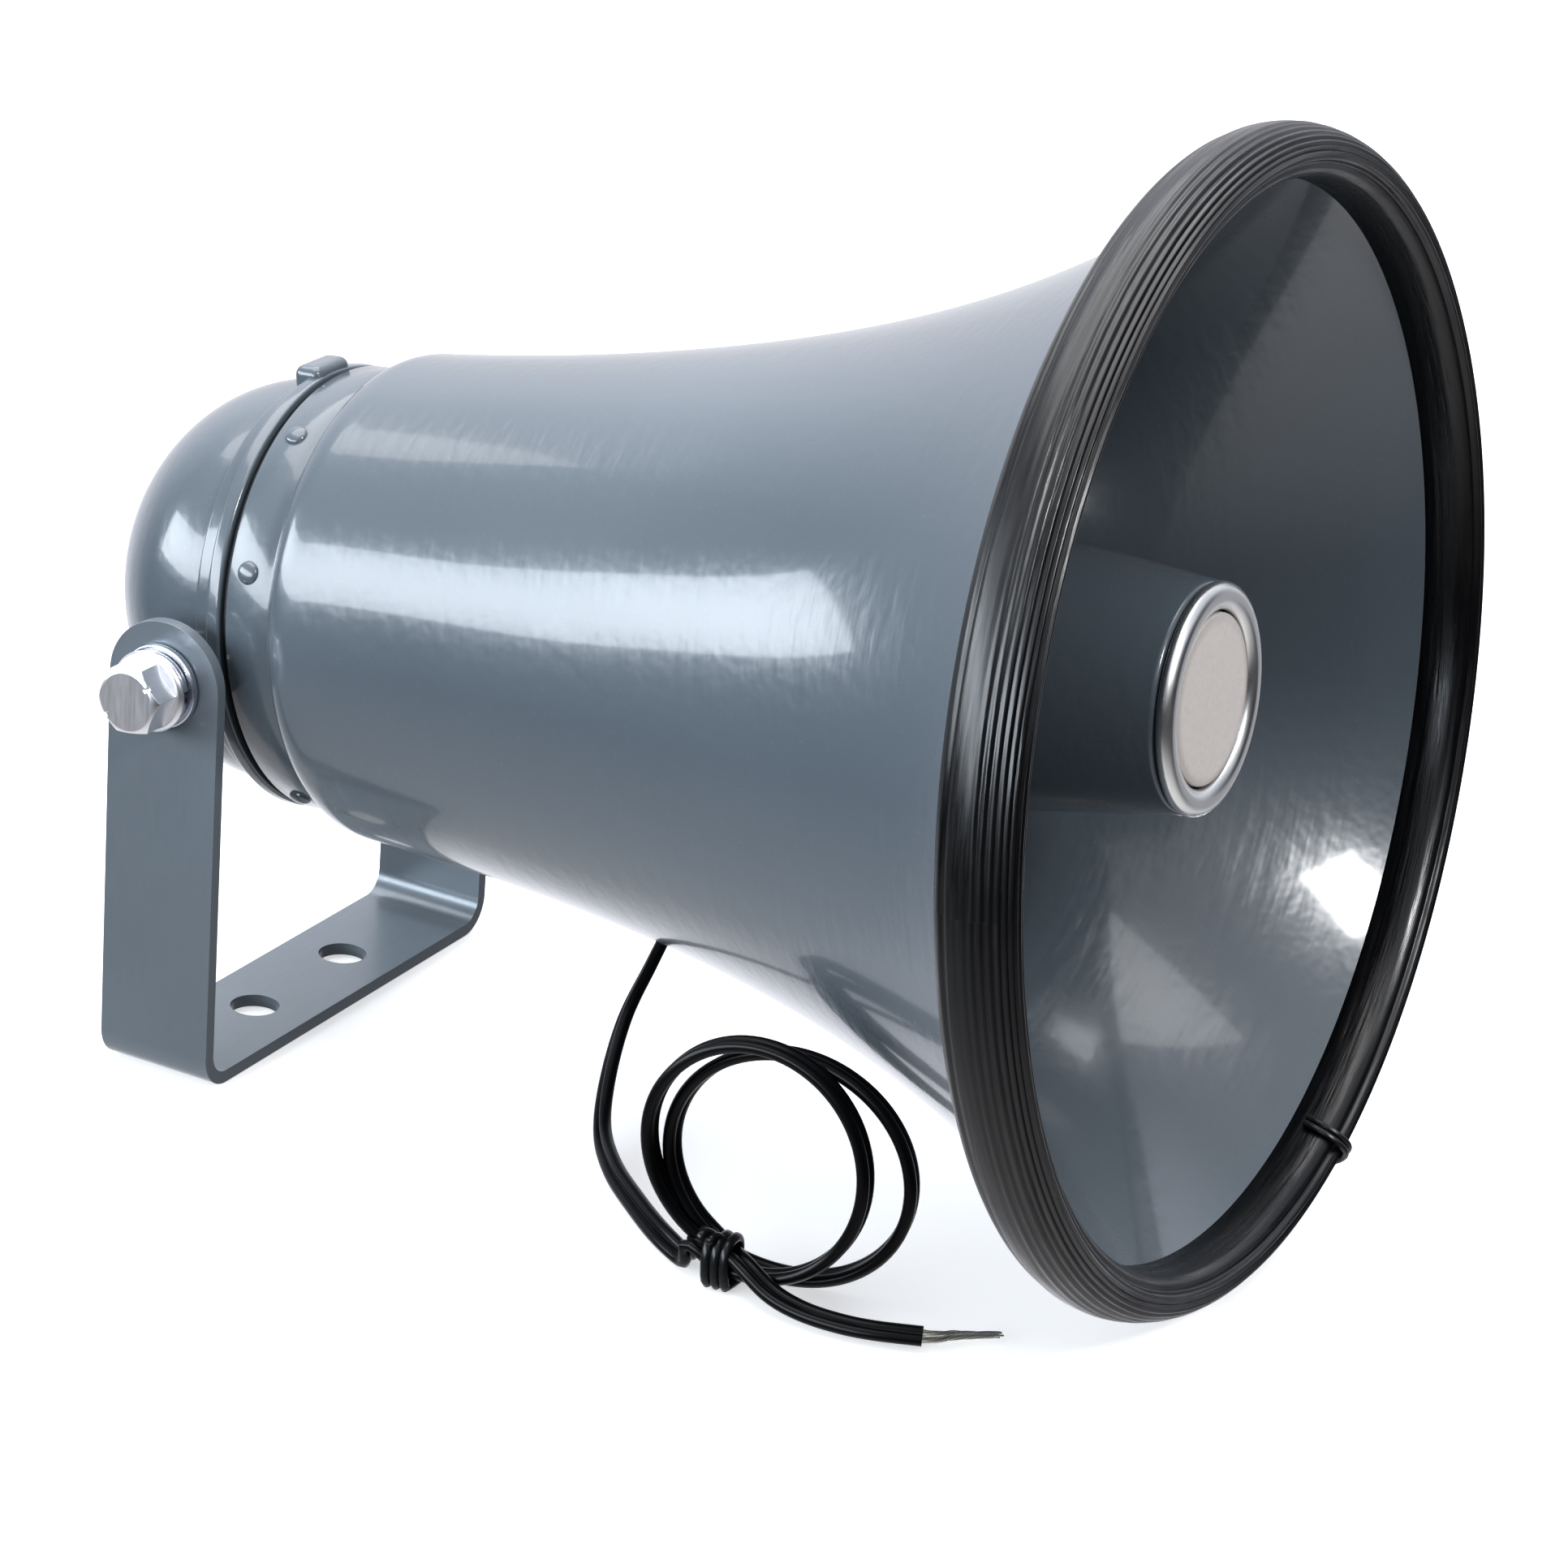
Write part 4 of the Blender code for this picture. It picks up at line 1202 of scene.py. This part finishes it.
def finish_inner_parts(_settings):
    """Gives the driver's and throat's own parts their metals, boards and enamel."""
    finishes = {
        "enamel": ("throat_tube",),
        "cast": ("throat_flange", "reflector_spider", "clamp_ring", "phase_plug"),
        "steel": ("back_plate", "top_plate", "reflector_screw"),
        "ferrite": ("magnet",),
        "copper": ("voice_coil", "terminal_tag_left", "terminal_tag_right"),
        "board": ("diaphragm", "terminal_plate"),
        "grommet": ("gasket",),
    }
    for key, names in finishes.items():
        for name in names:
            for slot in frame["nodes"][name].material_slots:
                slot.material = MATERIALS[key]


# Stage


def make_floor(settings):
    """A white floor that is seen itself but adds nothing to the light or the reflections."""
    shape = bmesh.new()
    bmesh.ops.create_circle(shape, cap_ends=True, segments=96, radius=settings.floor_radius)
    floor = mesh_object("studio_floor", shape)
    floor.data.materials.append(floor_material(settings))
    floor.location = (0.0, -0.08, -0.0002)
    floor.visible_diffuse = False
    floor.visible_glossy = False


def make_world(settings):
    """A soft room for the light and the reflections, and plain white where it is seen."""
    world = bpy.data.worlds.new("soft_room")
    bpy.context.scene.world = world
    graph = Graph(world)
    graph.tree.nodes.remove(graph.tree.nodes["Background"])
    height = sky_ramp(graph, (0.0, 0.0, 1.0), HEIGHT_STOPS)
    distance = sky_ramp(graph, FAR_WALL, FAR_WALL_STOPS)
    colour = graph.mix(1.0, height, distance, "ADD")
    strength = settings.room_strength
    room = graph.node("ShaderNodeBackground", {}, {"Color": colour, "Strength": strength})
    backdrop = graph.node("ShaderNodeBackground", {}, {"Color": WHITE, "Strength": 1.0})
    seen = graph.node("ShaderNodeLightPath", output="Is Camera Ray")
    mixed = graph.node("ShaderNodeMixShader", {}, {0: seen, 1: room, 2: backdrop})
    graph.feed(graph.tree.nodes["World Output"].inputs["Surface"], mixed)


def sky_ramp(graph, direction, stops):
    """Colours the room by how far each way out lies along a direction, from -1 to 1."""
    way = graph.node("ShaderNodeTexCoord", output="Generated")
    dot = {"operation": "DOT_PRODUCT"}
    along = graph.node("ShaderNodeVectorMath", dot, {0: way, 1: direction}, output="Value")
    span = graph.node("ShaderNodeMapRange", {}, {"From Min": -1.0, "Value": along})
    return graph.ramp(span, stops)


def add_softbox(name, direction, size, power, colour=(1.0, 1.0, 1.0)):
    light = bpy.data.lights.new(name, "AREA")
    light.shape = "RECTANGLE"
    light.size, light.size_y = size
    light.energy = power
    light.color = colour
    lamp = bpy.data.objects.new(name, light)
    way = Vector(direction).normalized()
    lamp.location = LIT_PLACE + way * LAMP_DISTANCE
    lamp.rotation_mode = "QUATERNION"
    lamp.rotation_quaternion = way.to_track_quat("Z", "Y")
    bpy.context.scene.collection.objects.link(lamp)


def make_lights(settings):
    blue = (0.86, 0.93, 1.0)
    add_softbox("ceiling_softbox", (0.15, 0.2, 1.0), (1.8, 1.8), settings.ceiling_power)
    add_softbox("side_window", (-0.80, 0.52, 0.23), (2.8, 0.52), settings.side_power, blue)
    add_softbox("front_window", (-0.28, -0.72, 0.6), (0.3, 0.24), settings.front_power)


def make_camera(settings):
    yaw = settings.camera_yaw
    pitch = settings.camera_pitch
    roll = settings.camera_roll
    forward = Vector(
        (-math.sin(yaw) * math.cos(pitch), math.cos(yaw) * math.cos(pitch), -math.sin(pitch))
    )
    right = Vector((math.cos(yaw), math.sin(yaw), 0))
    up = right.cross(forward)
    rolled_right = right * math.cos(roll) + up * math.sin(roll)
    rolled_up = up * math.cos(roll) - right * math.sin(roll)
    data = bpy.data.cameras.new("studio_camera")
    data.sensor_width = 36.0
    data.lens = settings.camera_lens
    data.clip_start = 0.01
    data.clip_end = 50.0
    camera = bpy.data.objects.new("studio_camera", data)
    camera.matrix_world = placed(Vector(settings.camera_place), rolled_right, rolled_up, -forward)
    scene = bpy.context.scene
    scene.collection.objects.link(camera)
    scene.camera = camera
    scene.view_settings.view_transform = "Standard"
    scene.view_settings.look = "Medium High Contrast"


# Add-on


def colour_setting(name, what, colour):
    text = "Colour of the " + what
    return FloatVectorProperty(name=name, description=text, subtype="COLOR", default=colour)


def power_setting(name, what, power):
    return FloatProperty(name=name, description=what, default=power, min=0.0, unit="POWER")


def angle_setting(name, what, degrees):
    angle = math.radians(degrees)
    return FloatProperty(name=name, description=what, default=angle, unit="ROTATION")


class HornLoudspeakerSettings(PropertyGroup):
    """Sizes, colours and studio values that a user would change."""

    enamel_colour: colour_setting("Enamel", "bell", (0.108, 0.130, 0.151))
    bracket_colour: colour_setting("Bracket", "bracket", (0.185, 0.215, 0.240))
    rubber_colour: colour_setting("Rubber", "edge trim", (0.003, 0.003, 0.0035))
    badge_colour: colour_setting("Badge", "blank badge", (0.88, 0.82, 0.77))
    flex_colour: colour_setting("Flex", "lead", (0.003, 0.003, 0.0035))
    floor_colour: colour_setting("Floor", "floor", (0.9, 0.9, 0.9))
    enamel_roughness: FloatProperty(
        name="Enamel roughness", description="Roughness under the coat", default=0.24, min=0, max=1
    )
    bell_segments: IntProperty(
        name="Bell segments", description="Steps round the bell", default=224, min=48, max=512
    )
    floor_radius: FloatProperty(
        name="Floor radius", description="Radius of the floor", default=0.9, unit="LENGTH"
    )
    floor_glow: FloatProperty(
        name="Floor glow", description="Brightness that the floor adds", default=0.42, min=0.0
    )
    room_strength: FloatProperty(
        name="Room", description="Strength of the room's light", default=0.8, min=0.0
    )
    ceiling_power: power_setting("Ceiling", "Ceiling light", 22.0)
    side_power: power_setting("Side", "Side window", 32.0)
    front_power: power_setting("Front", "Front window", 8.0)
    camera_place: FloatVectorProperty(
        name="Camera",
        description="Camera's place",
        subtype="XYZ",
        default=(-0.7398, -0.4796, 0.4097),
    )
    camera_yaw: angle_setting("Yaw", "Turn of the camera", -63.08)
    camera_pitch: angle_setting("Pitch", "How far the camera looks down", 22.17)
    camera_roll: angle_setting("Roll", "Roll of the camera", 4.62)
    camera_lens: FloatProperty(
        name="Lens", description="Focal length, mm", default=111.8, unit="CAMERA"
    )


class Maker:
    """Calls an operator's makers in their order, each with the scene's settings."""

    def execute(self, context):
        for make in self.makers:
            make(context.scene.horn_loudspeaker)
        return {"FINISHED"}


class HORN_OT_stage(Maker, Operator):
    """Set the camera, the floor and the soft studio light"""

    bl_idname = "horn.stage"
    bl_label = "Stage"
    makers = (make_camera, make_floor, make_world, make_lights)


class HORN_OT_materials(Maker, Operator):
    """Make the enamel, rubber, plated and vinyl finishes"""

    bl_idname = "horn.materials"
    bl_label = "Finishes"
    makers = (make_materials,)


class HORN_OT_lead(Maker, Operator):
    """Make the twin flex with its two loops, its tie, its bare ends and its grommet"""

    bl_idname = "horn.lead"
    bl_label = "Twin lead"
    makers = (make_flex, make_grommet)


class HORN_OT_bell(Maker, Operator):
    """Spin the bell from its collar to its edge"""

    bl_idname = "horn.bell"
    bl_label = "Bell"
    makers = (make_bell,)


class HORN_OT_edge_trim(Maker, Operator):
    """Mould the ribbed rubber trim and its wire clip"""

    bl_idname = "horn.edge_trim"
    bl_label = "Edge trim"
    makers = (make_edge_trim, make_trim_clip)


class HORN_OT_reflector(Maker, Operator):
    """Turn the reflector, its polished rim and its blank badge"""

    bl_idname = "horn.reflector"
    bl_label = "Reflector"
    makers = (make_reflector,)


class HORN_OT_driver_can(Maker, Operator):
    """Turn the driver can with its lugs, pivot bosses and collar rivets"""

    bl_idname = "horn.driver_can"
    bl_label = "Driver can"
    makers = (make_driver_can, make_rivets)


class HORN_OT_bracket(Maker, Operator):
    """Bend the U bracket from strip and drill it"""

    bl_idname = "horn.bracket"
    bl_label = "Bracket"
    makers = (make_bracket,)


class HORN_OT_bolts(Maker, Operator):
    """Make the two pivot bolts with their spring and flat washers"""

    bl_idname = "horn.bolts"
    bl_label = "Pivot bolts"
    makers = (make_bolts,)


class HORN_OT_inner_parts(Maker, Operator):
    """Finish the throat and the driver's parts"""

    bl_idname = "horn.inner_parts"
    bl_label = "Driver parts"
    makers = (finish_inner_parts,)

class HORN_PT_panel(Panel):
    """The horn's tools in the sidebar"""

    bl_label = "Horn Loudspeaker"
    bl_idname = "HORN_PT_panel"
    bl_space_type = "VIEW_3D"
    bl_region_type = "UI"
    bl_category = "Horn"

    def draw(self, context):
        layout = self.layout
        settings = context.scene.horn_loudspeaker
        for name in settings.bl_rna.properties.keys():
            if name not in ("rna_type", "name"):
                layout.prop(settings, name)
        for operator in OPERATORS:
            layout.operator(operator.bl_idname)


OPERATORS = (
    HORN_OT_stage,
    HORN_OT_materials,
    HORN_OT_lead,
    HORN_OT_bell,
    HORN_OT_edge_trim,
    HORN_OT_reflector,
    HORN_OT_driver_can,
    HORN_OT_bracket,
    HORN_OT_bolts,
    HORN_OT_inner_parts,
)
CLASSES = (HornLoudspeakerSettings, *OPERATORS, HORN_PT_panel)


def register():
    for cls in CLASSES:
        bpy.utils.register_class(cls)
    bpy.types.Scene.horn_loudspeaker = PointerProperty(type=HornLoudspeakerSettings)


def unregister():
    del bpy.types.Scene.horn_loudspeaker
    for cls in reversed(CLASSES):
        bpy.utils.unregister_class(cls)


def main():
    register()
    bpy.ops.horn.stage()
    bpy.ops.horn.materials()
    bpy.ops.horn.lead()
    bpy.ops.horn.bell()
    bpy.ops.horn.edge_trim()
    bpy.ops.horn.reflector()
    bpy.ops.horn.driver_can()
    bpy.ops.horn.bracket()
    bpy.ops.horn.bolts()
    bpy.ops.horn.inner_parts()
    bpy.context.view_layer.update()


if __name__ == "__main__":
    main()
